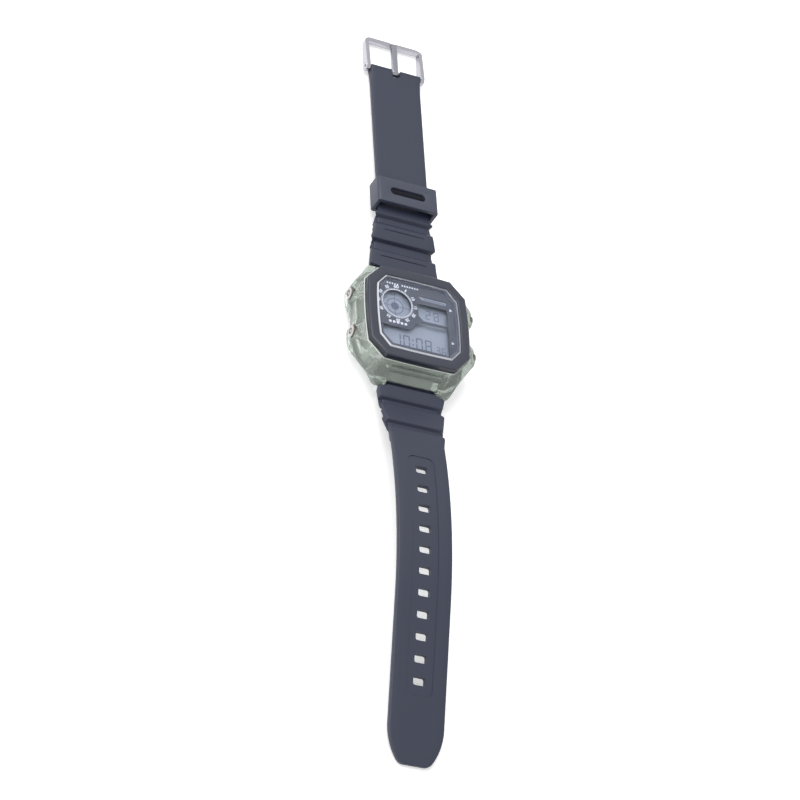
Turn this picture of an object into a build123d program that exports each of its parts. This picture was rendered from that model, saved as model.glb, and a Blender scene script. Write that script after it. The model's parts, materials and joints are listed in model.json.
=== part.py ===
from build123d import *
import os
from math import asin, cos, degrees, radians, sin, sqrt

# Digital watch with an open strap. Origin: middle of the case back's outer face.
# +Z leaves the dial, +Y points to twelve o'clock and the buckle, +X to three o'clock.
# Lengths are in millimetres and angles in degrees.

# Shared allowances
overrun = 1.0               # how far a cutting solid passes the face that it cuts
running_gap = 0.05          # radial play of a shaft or tip in its hole
seat_gap = 0.06             # play round a piece that drops into a seat
soft_gap = 0.3              # play between a strap and what it passes

# The display panel sets the size of the module, and the module that of the case
panel_half_width = 13.2
panel_half_length = 11.8
panel_play = 0.1            # gap between the panel and the module's wall
module_wall = 0.9
module_half_width = panel_half_width + panel_play + module_wall
module_half_length = panel_half_length + panel_play + module_wall
cavity_gap = 0.25           # play of the module in the case

# Case shell, seen from above: corners of one quarter
waist_room = 5.5            # from the module's side to the waist's
waist_half_width = module_half_width + waist_room
waist_half_length = 3.2
guard_rise = 1.2
guard_half_width = waist_half_width + guard_rise
guard_start = 4.4
guard_end = 10.2
shoulder_room_x = 0.4
shoulder_half_width = module_half_width + shoulder_room_x
shoulder_room_y = 6.0
shoulder_half_length = module_half_length + shoulder_room_y
lug_end_half_width = 13.0
lug_reach = 9.65
lug_half_length = module_half_length + lug_reach
lug_lean = 1.6              # how far a lug's outer side leans in by the shoulder's height
case_corner_reach = 0.7     # how far from a corner its softening starts

# Case shell, heights
case_base_z = 0.3
case_wall_low_z = 1.6
case_wall_high_z = 7.6
case_shoulder_z = 9.2
case_foot_inset = 0.9
shoulder_ledge = 0.35       # strip of case that shows round the bezel
hood_knee_reach = 5.8
hood_knee_y = module_half_length + hood_knee_reach  # the case end falls in two slopes that meet here
hood_knee_z = 7.6
hood_edge_reach = 8.5
hood_edge_y = module_half_length + hood_edge_reach
hood_edge_z = 4.2
lug_end_z = 2.6
hood_groove_reach = 5.4
hood_groove_y = module_half_length + hood_groove_reach
hood_groove_width = 0.6
hood_groove_depth = 0.7
hood_groove_half_length = 8.9
case_roof = 0.7             # thickness of the shell over the module
neck_height = 0.45          # rim that carries the glass
neck_land = 0.9             # width of that rim

# Glass and bezel: straight sides with cut corners, each side slightly bowed
glass_margin_x = 0.8
glass_half_width = panel_half_width + glass_margin_x
glass_margin_y = 1.74
glass_half_length = panel_half_length + glass_margin_y
glass_cut_x = 3.3
glass_cut_y = 3.9
glass_side_bow = 0.4
glass_end_bow = 0.2
glass_thickness = 1.6
glass_bevel = 0.4
gasket_thickness = 0.35
bezel_border_x = 3.1
bezel_half_width = glass_half_width + bezel_border_x
bezel_border_y = 3.41
bezel_half_length = glass_half_length + bezel_border_y
bezel_cut_x = 5.1
bezel_cut_y = 5.45
bezel_side_bow = 0.5
bezel_end_bow = 0.25
bezel_height = 2.3
bezel_bevel = 0.35
bezel_inner_bevel = 0.25

# Printed mask and its windows
mask_thickness = 0.15
print_thickness = 0.04
subdial_x = -6.95
subdial_y = 4.15
subdial_radius = 4.9
print_ring_width = 0.16
tick_ring_radius = 5.5
tick_length = 0.45
tick_width = 0.14
tick_count = 60
window_margin_left = 0.8
window_left = window_margin_left - panel_half_width
window_margin_right = 2.6
window_right = panel_half_width - window_margin_right
window_corner_radius = 0.3
strip_window_top = 9.0
strip_window_bottom = 7.7
strip_window_left = 0.4
strip_window_slant = 1.4
date_window_top = 6.0
date_window_bottom = -0.3
date_window_left = 0.4
date_window_cut = 1.6
time_window_top = -1.3
time_window_bottom = -11.4
time_window_step_x = -3.2
time_window_step_y = -4.85
time_window_cut = 3.2

# Liquid crystal panel and what lies behind it
polariser_thickness = 0.13
polariser_margin = 1.9
polariser_half_length = panel_half_length - polariser_margin
rear_glass_thickness = 0.6
front_glass_thickness = 0.55
segment_thickness = 0.04
segment_width = 0.42
segment_gap = 0.09
time_digit_height = 4.3
time_digit_width = 2.3
time_digit_pitch = 3.15
time_digit_base = -10.5
time_digit_left = -7.9
colon_dot = 0.5
colon_room = 1.3
seconds_digit_height = 2.7
seconds_digit_width = 1.4
seconds_digit_pitch = 1.95
seconds_digit_left = 6.7
small_segment_width = 0.27
date_digit_height = 3.3
date_digit_width = 1.75
date_digit_pitch = 2.9
date_digit_left = 3.7
date_digit_base = 2.0
strip_bar_count = 8
strip_bar_width = 0.7
strip_bar_pitch = 1.05
strip_bar_height = 0.35
strip_bar_left = 2.9
strip_bar_base = 8.5
hub_radius = 1.4
hub_ring_radius = 2.7
hub_ring_width = 0.25
hub_spoke_width = 0.22

# Module: frame, circuit board and the rest of the works
module_cut = 1.4
frame_shelf_thickness = 0.25
frame_post_radius = 0.6
frame_post_margin_x = 5.6
frame_post_x = module_half_width - frame_post_margin_x
frame_post_margin_y = 3.5
frame_post_y = module_half_length - frame_post_margin_y
board_thickness = 0.8
board_gap = 0.05
shelf_rise = 1.05           # from the board's top to the shelf
light_guide_thickness = 0.8
light_guide_margin_x = 1.0
light_guide_half_width = panel_half_width - light_guide_margin_x
light_guide_margin_y = 2.0
light_guide_half_length = panel_half_length - light_guide_margin_y
lamp_length = 1.6
lamp_width = 1.1
lamp_height = 0.6
connector_margin = 0.9
connector_half_length = panel_half_width - connector_margin
connector_width = 1.3
connector_inset = 0.3       # from the panel's end to the connector
chip_length = 5.6
chip_width = 5.6
chip_height = 0.75
chip_x = 1.5
chip_y = -1.0
timing_crystal_radius = 0.5
timing_crystal_length = 4.2
timing_crystal_x = -8.0
timing_crystal_y = 3.0
component_length = 1.6
component_width = 0.8
component_height = 0.6
component_count = 6
component_pitch = 2.4
component_row_y = 6.2
component_row_x = -6.0
contact_thickness = 0.15
contact_width = 1.5
contact_height = 2.0
contact_foot = 1.3

# Battery, its clamp and the sounder
battery_radius = 10.0
battery_thickness = 2.5
battery_y = 1.4
battery_edge_radius = 0.3
clamp_thickness = 0.25
clamp_width = 4.0
clamp_leg_gap = 0.6
minus_contact_thickness = 0.2
minus_contact_length = 7.0
minus_contact_width = 2.4
insulator_thickness = 0.1
insulator_inset = 0.35
sounder_radius = 11.6
sounder_thickness = 0.2
sounder_spring_radius = 0.55
sounder_spring_wire_radius = 0.1
sounder_spring_turns = 5
sounder_spring_margin = 2.4
sounder_spring_y = sounder_spring_margin - module_half_length
back_margin_x = 2.0
back_half_width = module_half_width + back_margin_x
back_margin_y = 4.4
back_half_length = module_half_length + back_margin_y
back_cut = 4.4
back_thickness = 0.8
back_bevel = 0.25
back_gasket_width = 0.6
back_gasket_thickness = 0.4
back_gasket_offset = 0.35   # from the cavity's edge to the gasket
screw_margin_x = 4.3
screw_x = back_half_width - screw_margin_x
screw_margin_y = 2.05
screw_y = back_half_length - screw_margin_y
screw_radius = 0.65
screw_hole_depth = 3.6
screw_head_radius = 1.15
screw_head_height = 0.42
screw_slot_width = 0.3
screw_slot_depth = 0.2

# Push buttons
button_y = 7.2
button_z = 5.8
button_radius = 2.0
button_stand = 0.7          # how far a button stands out of the guards
button_face_x = guard_half_width + button_stand
button_cap_thickness = 1.0
button_dome = 0.3
button_dimple_radius = 1.1
button_dimple_depth = 0.12
button_stem_radius = 0.6
button_travel = 0.8
button_pocket_radius = 2.15
button_pocket_depth = 2.5
button_pocket_floor_x = button_face_x - button_pocket_depth
clip_radius = 1.1
clip_thickness = 0.2
clip_groove_radius = 0.42
clip_mouth_width = 0.7
seal_length = 0.8
seal_radius = 1.35
seal_depth = 4.6
seal_x = button_face_x - seal_depth
button_spring_radius = 1.15
button_spring_wire_radius = 0.11
button_spring_turns = 3

# Lug pins of the strap
pin_z = 1.9
lug_half_gap = 8.85
slot_wall_reach = 4.75
slot_wall_y = module_half_length + slot_wall_reach
pin_from_wall = 1.85
pin_y = slot_wall_y + pin_from_wall
hood_underside_z = 3.75
pin_tube_radius = 0.75
pin_tube_wall = 0.2
pin_tip_radius = 0.4
pin_tip_reach = 1.1         # how far a tip stands in its hole
pin_tip_collar_length = 0.8
pin_tube_inset = 0.25       # the tube ends this far inside the strap's side
pin_spring_wire_radius = 0.1
pin_spring_turns = 10

# Strap, both halves
strap_half_width = 9.1
strap_half_thickness = 0.9
strap_edge_round = 0.5
knuckle_radius = 1.45
rib_drop = 0.45             # how far a rib stands below the strap's underside
rib_skirt = 1.25            # height of a rib's full-width upper part
rib_undercut = 1.0          # how far its lower part stands in from the sides
rib_slant = 0.35            # slope of a rib's ends
groove_depth = 0.85
rib_corner = 0.6
fine_line_width = 0.28
fine_line_depth = 0.22
rib_start = 3.5             # from the lug pin to the first rib
groove_width = 1.3
lug_rib_half_width = 12.0
rib_side_notch = 1.1        # how far a groove's floor stands in from the ribs' sides

# Tip half of the strap: its middle line as runs and turns, away from the case
tip_root_run = 3.5
tip_rise_radius = 45.0
tip_rise_angle = 11.5
tip_slope_run = 2.0
tip_fall_radius = 141.0
tip_fall_angle = 25.5
tip_end_run = 50.8
tip_rib_lengths = (4.3, 8.1, 6.2)
tip_rib_half_widths = (11.6, 11.2, 10.2, 9.1)
tip_nose_length = 12.0
tip_end_half_width = 4.74   # where the nose's sides would meet the blunt end
tip_end_corner = 1.2
tip_fine_line_from_pin = 5.6
tip_fine_line_half_length = 8.2
hole_count = 11
hole_pitch = 6.83
first_hole_from_pin = 34.4
hole_width = 4.0
hole_length = 2.5
hole_corner_radius = 0.6
panel_recess_depth = 0.22
panel_recess_half_width = 4.4
panel_recess_lead = 4.8     # from the first hole's middle to the recess's end
panel_recess_tail = 4.4
panel_recess_corner = 2.0

# Buckle half of the strap
buckle_root_run = 3.5
buckle_rise_radius = 25.0
buckle_rise_angle = 14.0
buckle_slope_run = 5.5
buckle_fall_radius = 50.0
buckle_fall_angle = 14.0
buckle_end_run = 56.6
buckle_rib_lengths = (8.3, 7.6, 2.9)
buckle_rib_half_widths = (11.8, 11.3, 10.3, 9.3)
buckle_fine_lines_from_pin = (7.0, 16.4)
buckle_fine_line_half_length = 7.6
end_knuckle_radius = 1.75
tongue_notch_half_width = 1.55
tongue_notch_depth = 3.0

# Chevron engraved on the lower case end
chevron_x = -10.5
chevron_from_module = 5.4
chevron_y = module_half_length + chevron_from_module
chevron_reach = 0.6
chevron_stroke = 0.22
chevron_depth = 0.3

# Keeper
keeper_from_pin = 25.6
keeper_length = 9.6
keeper_wall = 1.35
keeper_headroom = 2.0
keeper_corner_radius = 1.0
keeper_slot_half_length = 6.2
keeper_slot_width = 2.7

# Buckle
arm_width = 1.3
arm_ear_radius = 1.7        # round end of an arm, about the bar
arm_half_height = 1.1       # at the far end
frame_reach = 12.3          # from the bar to the far side of the frame
frame_bar_width = 1.7
frame_bar_half_height = 0.8
frame_corner_radius = 2.2
frame_notch_depth = 0.35
arm_gap = 0.2
tongue_half_width = 1.0
tongue_thickness = 1.0
tongue_knuckle_radius = 1.4
tongue_overhang = -0.5
bar_radius = 0.75

# Heights that follow from the stack of pieces, from the case back upwards
sounder_top_z = back_thickness + sounder_thickness
insulator_top_z = sounder_top_z + insulator_thickness
battery_base_z = insulator_top_z + clamp_thickness
battery_top_z = battery_base_z + battery_thickness
board_base_z = battery_top_z + minus_contact_thickness
board_top_z = board_base_z + board_thickness
shelf_base_z = board_top_z + shelf_rise
shelf_top_z = shelf_base_z + frame_shelf_thickness
light_guide_top_z = shelf_top_z + light_guide_thickness
rear_glass_base_z = light_guide_top_z + polariser_thickness
front_glass_base_z = rear_glass_base_z + rear_glass_thickness
front_glass_top_z = front_glass_base_z + front_glass_thickness
panel_top_z = front_glass_top_z + polariser_thickness
cavity_top_z = case_shoulder_z - case_roof
neck_top_z = case_shoulder_z + neck_height
glass_base_z = neck_top_z + gasket_thickness
glass_top_z = glass_base_z + glass_thickness
mask_top_z = glass_base_z - print_thickness
mask_base_z = mask_top_z - mask_thickness
cavity_half_width = module_half_width + cavity_gap
cavity_half_length = module_half_length + cavity_gap

tip_moves = [
    (tip_root_run, 0),
    (tip_rise_radius * radians(tip_rise_angle), tip_rise_angle),
    (tip_slope_run, 0),
    (tip_fall_radius * radians(tip_fall_angle), -tip_fall_angle),
    (tip_end_run, 0),
]
buckle_moves = [
    (buckle_root_run, 0),
    (buckle_rise_radius * radians(buckle_rise_angle), buckle_rise_angle),
    (buckle_slope_run, 0),
    (buckle_fall_radius * radians(buckle_fall_angle), -buckle_fall_angle),
    (buckle_end_run, 0),
]


def prism(face, low, high):
    """Face on the XY plane, raised between two heights."""
    return extrude(Pos(0, 0, low) * face, amount=high - low, dir=(0, 0, 1))


def block(low, high):
    """Box between two opposite corners."""
    size = [b - a for a, b in zip(low, high)]
    middle = [(a + b) / 2 for a, b in zip(low, high)]
    return Pos(*middle) * Box(*size)


def rod(axis, start, end, radius):
    """Cylinder along X or Z: start and end are its two end points."""
    length = end[0] - start[0] if axis == "X" else end[2] - start[2]
    turn = Rot(0, 90, 0) if axis == "X" else Rot(0, 0, 0)
    middle = [(a + b) / 2 for a, b in zip(start, end)]
    return Pos(*middle) * turn * Cylinder(radius, abs(length))


def mirrored_corners(quarter):
    """All corners of an outline from those of its +X +Y quarter, walked from +X to +Y."""
    back = list(reversed(quarter))
    left_top = [(-x, y) for x, y in back]
    left_bottom = [(-x, -y) for x, y in quarter]
    right_bottom = [(x, -y) for x, y in back]
    return quarter + left_top + left_bottom + right_bottom


def polygon(points):
    """Face inside a closed run of straight sides."""
    return make_face(Polyline(*points, close=True))


def cut_rectangle(half_width, half_length, cut_x, cut_y):
    """Rectangle with its four corners cut."""
    quarter = [(half_width, half_length - cut_y), (half_width - cut_x, half_length)]
    return polygon(mirrored_corners(quarter))


def bowed_outline(half_width, half_length, cut_x, cut_y, side_bow, end_bow):
    """Cut rectangle whose long sides swell outwards as shallow arcs."""
    side_y = half_length - cut_y
    end_x = half_width - cut_x
    right = ThreePointArc((half_width, -side_y), (half_width + side_bow, 0), (half_width, side_y))
    top_right = Line((half_width, side_y), (end_x, half_length))
    top = ThreePointArc((end_x, half_length), (0, half_length + end_bow), (-end_x, half_length))
    top_left = Line((-end_x, half_length), (-half_width, side_y))
    left = ThreePointArc((-half_width, side_y), (-half_width - side_bow, 0), (-half_width, -side_y))
    low_left = Line((-half_width, -side_y), (-end_x, -half_length))
    low = ThreePointArc((-end_x, -half_length), (0, -half_length - end_bow), (end_x, -half_length))
    low_right = Line((end_x, -half_length), (half_width, -side_y))
    return make_face(right + top_right + top + top_left + left + low_left + low + low_right)


def glass_outline(margin):
    """Outline of the glass, grown by a margin or shrunk by a negative one."""
    return bowed_outline(
        glass_half_width + margin,
        glass_half_length + margin,
        glass_cut_x,
        glass_cut_y,
        glass_side_bow,
        glass_end_bow,
    )


def coil(radius, wire_radius, height, turns):
    """Compression spring along +Z from the origin, wire inside the height."""
    rise = height - 2 * wire_radius
    path = Pos(0, 0, wire_radius) * Helix(pitch=rise / turns, height=rise, radius=radius)
    section = Plane(path @ 0, z_dir=path % 0) * Circle(wire_radius)
    return sweep(section, path=path, is_frenet=True)


def case_corners(foot_inset):
    """Corners of one quarter of the case wall."""
    return [
        (waist_half_width - foot_inset, waist_half_length),
        (guard_half_width - foot_inset, guard_start),
        (guard_half_width - foot_inset, guard_end),
        (shoulder_half_width - foot_inset, shoulder_half_length - foot_inset),
        (lug_end_half_width - foot_inset, lug_half_length - foot_inset),
    ]


def shoulder_corners():
    """Corners of one quarter of the case at the foot of the bezel."""
    side_x = bezel_half_width + shoulder_ledge
    return [
        (side_x + bezel_side_bow, waist_half_length),
        (side_x + bezel_side_bow, guard_start),
        (side_x, bezel_half_length - bezel_cut_y + shoulder_ledge),
        (bezel_half_width - bezel_cut_x + shoulder_ledge, bezel_half_length + shoulder_ledge),
        (lug_end_half_width - lug_lean, lug_half_length),
    ]


def softened(corners):
    """Closed run of corners with each corner cut off by a short flat."""
    points = []
    for index, corner in enumerate(corners):
        before = corners[index - 1]
        after = corners[(index + 1) % len(corners)]
        for other in (before, after):
            span = sqrt((other[0] - corner[0]) ** 2 + (other[1] - corner[1]) ** 2)
            share = min(case_corner_reach / span, 1 / 3)
            points.append(tuple(a + share * (b - a) for a, b in zip(corner, other)))
    return points


def case_section(quarter, height):
    """Outline of the case at one height."""
    return Pos(0, 0, height) * polygon(softened(mirrored_corners(quarter)))


def end_slope_cutter(side):
    """Everything above the two falling slopes of one end of the case."""
    start_y = bezel_half_length + shoulder_ledge
    far_y = lug_half_length + overrun
    top_z = case_shoulder_z + overrun
    corners = [
        (start_y, top_z),
        (start_y, case_shoulder_z),
        (hood_knee_y, hood_knee_z),
        (hood_edge_y, hood_edge_z),
        (lug_half_length, lug_end_z),
        (far_y, lug_end_z),
        (far_y, top_z),
    ]
    face = make_face(Polyline(*[(0, side * y, z) for y, z in corners], close=True))
    return extrude(face, amount=guard_half_width, dir=(1, 0, 0), both=True)


def strap_slot(side):
    """Room between two lugs for the strap's root, open below and outwards."""
    far_y = lug_half_length + overrun
    low = [-lug_half_gap, slot_wall_y, case_base_z - overrun]
    under_hood = block(low, [lug_half_gap, far_y, hood_underside_z])
    past_hood = block(
        [-lug_half_gap, hood_edge_y, case_base_z - overrun],
        [lug_half_gap, far_y, case_shoulder_z],
    )
    cutter = under_hood + past_hood
    return cutter if side > 0 else mirror(cutter, about=Plane.XZ)


def hood_groove(side):
    """Groove that splits the case end into two bands."""
    half = hood_groove_half_length
    low_y = hood_groove_y - hood_groove_width / 2
    slope = (case_shoulder_z - hood_knee_z) / (hood_knee_y - bezel_half_length - shoulder_ledge)
    surface_z = hood_knee_z + slope * (hood_knee_y - hood_groove_y)
    cutter = block(
        [-half, low_y, surface_z - hood_groove_depth],
        [half, low_y + hood_groove_width, case_shoulder_z + overrun],
    )
    return cutter if side > 0 else mirror(cutter, about=Plane.XZ)


def chevron():
    """Engraved chevron on the lower case end."""
    reach = chevron_reach
    stroke = chevron_stroke
    mark = polygon([
        (chevron_x + reach, -chevron_y + reach),
        (chevron_x, -chevron_y),
        (chevron_x + reach, -chevron_y - reach),
        (chevron_x + reach + stroke, -chevron_y - reach),
        (chevron_x + stroke * sqrt(2), -chevron_y),
        (chevron_x + reach + stroke, -chevron_y + reach),
    ])
    slope = (case_shoulder_z - hood_knee_z) / (hood_knee_y - bezel_half_length - shoulder_ledge)
    surface_z = hood_knee_z + slope * (hood_knee_y - chevron_y)
    return prism(mark, surface_z - chevron_depth - reach * slope, case_shoulder_z + overrun)


def back_outline(margin):
    """Outline of the case back, grown by a margin."""
    return cut_rectangle(back_half_width + margin, back_half_length + margin, back_cut, back_cut)


def cavity_outline(margin):
    """Outline of the room for the module, grown by a margin."""
    return cut_rectangle(cavity_half_width + margin, cavity_half_length + margin, module_cut, module_cut)


def screw_places():
    """Middle of each case back screw."""
    return [(x, y) for x in (-screw_x, screw_x) for y in (-screw_y, screw_y)]


def button_places():
    """Name, side and place along Y of each push button."""
    return [
        ("upper_left", -1, button_y),
        ("lower_left", -1, -button_y),
        ("upper_right", 1, button_y),
        ("lower_right", 1, -button_y),
    ]


def button_bore(side, place_y):
    """Stepped hole for one button: pocket, stem hole and seal groove."""
    start_x = cavity_half_width - overrun
    far_x = guard_half_width + overrun
    hole = rod("X", (start_x, 0, 0), (far_x, 0, 0), button_stem_radius + running_gap)
    pocket = rod("X", (button_pocket_floor_x, 0, 0), (far_x, 0, 0), button_pocket_radius)
    groove = rod("X", (seal_x - seal_length / 2, 0, 0), (seal_x + seal_length / 2, 0, 0), seal_radius)
    cutter = hole + pocket + groove
    turned = cutter if side > 0 else mirror(cutter, about=Plane.YZ)
    return Pos(0, place_y, button_z) * turned


def case_shell():
    """Resin shell: walls, guards, lugs, hoods, neck and every hole in them."""
    sections = [
        case_section(case_corners(case_foot_inset), case_base_z),
        case_section(case_corners(0), case_wall_low_z),
        case_section(case_corners(0), case_wall_high_z),
        case_section(shoulder_corners(), case_shoulder_z),
    ]
    shell = loft(sections, ruled=True)
    for side in (-1, 1):
        shell -= end_slope_cutter(side)
        shell -= strap_slot(side)
        shell -= hood_groove(side)
        for hand in (-1, 1):
            tip_end = lug_half_gap + pin_tip_reach + running_gap
            start = (hand * (lug_half_gap - overrun), side * pin_y, pin_z)
            end = (hand * tip_end, side * pin_y, pin_z)
            shell -= rod("X", start, end, pin_tip_radius + running_gap)
    shell -= chevron()
    shell += prism(glass_outline(-seat_gap), case_shoulder_z, neck_top_z)
    shell -= prism(glass_outline(-neck_land), cavity_top_z - overrun, neck_top_z + overrun)
    shell -= prism(cavity_outline(0), case_base_z - overrun, cavity_top_z)
    shell -= prism(back_outline(seat_gap), case_base_z - overrun, back_thickness)
    gasket_roof = back_thickness + back_gasket_thickness
    shell -= prism(gasket_ring(), back_thickness, gasket_roof)
    for x, y in screw_places():
        shell -= rod("Z", (x, y, 0), (x, y, back_thickness + screw_hole_depth), screw_radius)
    for _, side, place_y in button_places():
        shell -= button_bore(side, place_y)
    return shell


def gasket_ring():
    """Flat ring round the cavity, as a face."""
    inner = back_gasket_offset
    return cavity_outline(inner + back_gasket_width) - cavity_outline(inner)


def bezel():
    """Raised octagonal frame round the glass."""
    outline = bowed_outline(
        bezel_half_width,
        bezel_half_length,
        bezel_cut_x,
        bezel_cut_y,
        bezel_side_bow,
        bezel_end_bow,
    )
    top_z = case_shoulder_z + bezel_height
    body = prism(outline, case_shoulder_z, top_z)
    body = chamfer(body.faces().sort_by(Axis.Z)[-1].edges(), bezel_bevel)
    body -= prism(glass_outline(seat_gap), case_shoulder_z - overrun, top_z + overrun)
    rim = body.faces().sort_by(Axis.Z)[-1].inner_wires()[0].edges()
    return chamfer(rim, bezel_inner_bevel)


def crystal():
    """Flat glass with a bevelled top edge."""
    body = prism(glass_outline(0), glass_base_z, glass_top_z)
    return chamfer(body.faces().sort_by(Axis.Z)[-1].edges(), glass_bevel)


def crystal_gasket():
    """Thin ring between the neck and the glass."""
    ring = glass_outline(-seat_gap) - glass_outline(-neck_land)
    return prism(ring, neck_top_z, glass_base_z)


def window_faces():
    """Openings of the mask: strip, date, time and the round sub-dial."""
    strip = polygon([
        (strip_window_left, strip_window_top),
        (strip_window_left + strip_window_slant, strip_window_bottom),
        (window_right, strip_window_bottom),
        (window_right, strip_window_top),
    ])
    date = polygon([
        (date_window_left, date_window_top),
        (date_window_left, date_window_bottom + date_window_cut),
        (date_window_left + date_window_cut, date_window_bottom),
        (window_right, date_window_bottom),
        (window_right, date_window_top),
    ])
    step_rise = time_window_top - time_window_step_y
    time = polygon([
        (window_left, time_window_step_y),
        (window_left, time_window_bottom + time_window_cut),
        (window_left + time_window_cut, time_window_bottom),
        (window_right, time_window_bottom),
        (window_right, time_window_top),
        (time_window_step_x + step_rise, time_window_top),
        (time_window_step_x, time_window_step_y),
    ])
    dial = Pos(subdial_x, subdial_y) * Circle(subdial_radius)
    squared = [fillet(face.vertices(), window_corner_radius) for face in (strip, date, time)]
    return squared + [dial]


def face_mask():
    """Printed sheet under the glass, with its windows."""
    sheet = glass_outline(-neck_land - seat_gap)
    for window in window_faces():
        sheet -= window
    return prism(sheet, mask_base_z, mask_top_z)


def dial_markings():
    """Ring and minute ticks printed round the sub-dial."""
    middle = Pos(subdial_x, subdial_y)
    inner = subdial_radius + print_ring_width / 2
    ring = Circle(inner + print_ring_width) - Circle(inner)
    pieces = [prism(middle * ring, mask_top_z, glass_base_z)]
    for index in range(tick_count):
        tick = Rot(0, 0, 360 * index / tick_count) * Pos(tick_ring_radius, 0)
        face = middle * tick * Rectangle(tick_length, tick_width)
        pieces.append(prism(face, mask_top_z, glass_base_z))
    return Compound(children=pieces)


def panel_sheet(half_width, half_length, low, high):
    """One flat layer of the display."""
    return block([-half_width, -half_length, low], [half_width, half_length, high])


def digit_bars(figure, left, base, width, height, stroke):
    """Seven-bar figure as a list of faces."""
    bars_of_figure = {
        0: "abcdef", 1: "bc", 2: "abged", 3: "abgcd", 4: "fgbc",
        5: "afgcd", 6: "afgedc", 7: "abc", 8: "abcdefg", 9: "abcdfg",
    }
    half = height / 2
    long_bar = width - stroke - 2 * segment_gap
    tall_bar = half - stroke / 2 - 2 * segment_gap
    middle_x = left + width / 2
    bars = {
        "a": (middle_x, base + height - stroke / 2, long_bar, stroke),
        "g": (middle_x, base + half, long_bar, stroke),
        "d": (middle_x, base + stroke / 2, long_bar, stroke),
        "f": (left + stroke / 2, base + half + half / 2, stroke, tall_bar),
        "b": (left + width - stroke / 2, base + half + half / 2, stroke, tall_bar),
        "e": (left + stroke / 2, base + half / 2, stroke, tall_bar),
        "c": (left + width - stroke / 2, base + half / 2, stroke, tall_bar),
    }
    faces = []
    for letter in bars_of_figure[figure]:
        x, y, size_x, size_y = bars[letter]
        faces.append(Pos(x, y) * Rectangle(size_x, size_y))
    return faces


def hub_faces():
    """Hub, ring and four spokes shown in the round window."""
    middle = Pos(subdial_x, subdial_y)
    ring = Circle(hub_ring_radius + hub_ring_width) - Circle(hub_ring_radius)
    faces = [middle * Circle(hub_radius), middle * ring]
    ring_end = hub_ring_radius + hub_ring_width
    spans = [
        (hub_radius + segment_gap, hub_ring_radius - segment_gap),
        (ring_end + segment_gap, subdial_radius),
    ]
    for index in range(4):
        for inner, outer in spans:
            spoke = Pos((inner + outer) / 2, 0) * Rectangle(outer - inner, hub_spoke_width)
            faces.append(middle * Rot(0, 0, 90 * index) * spoke)
    return faces


def lcd_segments():
    """Lit segments of the display, lying on the front polariser."""
    faces = hub_faces()
    left = time_digit_left
    for figure in (1, 0):
        faces += digit_bars(figure, left, time_digit_base, time_digit_width, time_digit_height, segment_width)
        left += time_digit_pitch
    dot_x = left + colon_room / 2 - (time_digit_pitch - time_digit_width) / 2
    for share in (0.3, 0.7):
        dot_y = time_digit_base + share * time_digit_height
        faces.append(Pos(dot_x, dot_y) * Rectangle(colon_dot, colon_dot))
    left += colon_room
    for figure in (0, 8):
        faces += digit_bars(figure, left, time_digit_base, time_digit_width, time_digit_height, segment_width)
        left += time_digit_pitch
    left = seconds_digit_left
    for figure in (3, 6):
        faces += digit_bars(
            figure, left, time_digit_base, seconds_digit_width, seconds_digit_height, small_segment_width
        )
        left += seconds_digit_pitch
    left = date_digit_left
    for figure in (2, 8):
        faces += digit_bars(
            figure, left, date_digit_base, date_digit_width, date_digit_height, small_segment_width
        )
        left += date_digit_pitch
    for index in range(strip_bar_count):
        bar_x = strip_bar_left + index * strip_bar_pitch
        faces.append(Pos(bar_x, strip_bar_base) * Rectangle(strip_bar_width, strip_bar_height))
    top_z = panel_top_z + segment_thickness
    return Compound(children=[prism(face, panel_top_z, top_z) for face in faces])


def lcd_polarisers():
    """Front and rear film of the display."""
    front = panel_sheet(panel_half_width, panel_half_length, front_glass_top_z, panel_top_z)
    rear = panel_sheet(panel_half_width, polariser_half_length, light_guide_top_z, rear_glass_base_z)
    return Compound(children=[front, rear])


def connector_place():
    """Middle line of a striped connector, from the dial's middle."""
    return panel_half_length - connector_inset - connector_width / 2


def lcd_connectors():
    """Two striped rubber bars between the board and the display."""
    bars = []
    for side in (-1, 1):
        middle = side * connector_place()
        bars.append(block(
            [-connector_half_length, middle - connector_width / 2, board_top_z],
            [connector_half_length, middle + connector_width / 2, rear_glass_base_z],
        ))
    return Compound(children=bars)


def module_frame():
    """Plastic frame: a wall with cut corners, a shelf and four posts."""
    outline = cut_rectangle(module_half_width, module_half_length, module_cut, module_cut)
    room_x = module_half_width - module_wall
    room_y = module_half_length - module_wall
    shelf_cut = module_cut - module_wall / 2
    room = cut_rectangle(room_x, room_y, shelf_cut, shelf_cut)
    body = prism(outline, insulator_top_z, panel_top_z) - prism(room, insulator_top_z, panel_top_z)
    body += prism(room, shelf_base_z, shelf_top_z)
    body -= block(
        [-panel_half_width - board_gap, -panel_half_length - board_gap, rear_glass_base_z],
        [panel_half_width + board_gap, panel_half_length + board_gap, panel_top_z + overrun],
    )
    body -= block(
        [-panel_half_width - board_gap, -panel_half_length - board_gap, board_base_z - board_gap],
        [panel_half_width + board_gap, panel_half_length + board_gap, board_top_z],
    )
    for side in (-1, 1):
        middle = side * connector_place()
        body -= block(
            [-connector_half_length - board_gap, middle - connector_width / 2 - board_gap, shelf_base_z - overrun],
            [connector_half_length + board_gap, middle + connector_width / 2 + board_gap, shelf_top_z + overrun],
        )
    for _, hand, place_y in button_places():
        inner_x = contact_face_x() - contact_thickness - board_gap
        notch = block(
            [inner_x, place_y - clip_radius - cavity_gap, button_z - clip_radius - cavity_gap],
            [module_half_width + overrun, place_y + clip_radius + cavity_gap, rear_glass_base_z],
        )
        body -= notch if hand > 0 else mirror(notch, about=Plane.YZ)
    for x in (-frame_post_x, frame_post_x):
        for y in (-frame_post_y, frame_post_y):
            body += rod("Z", (x, y, board_top_z), (x, y, shelf_base_z), frame_post_radius)
    return body


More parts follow.
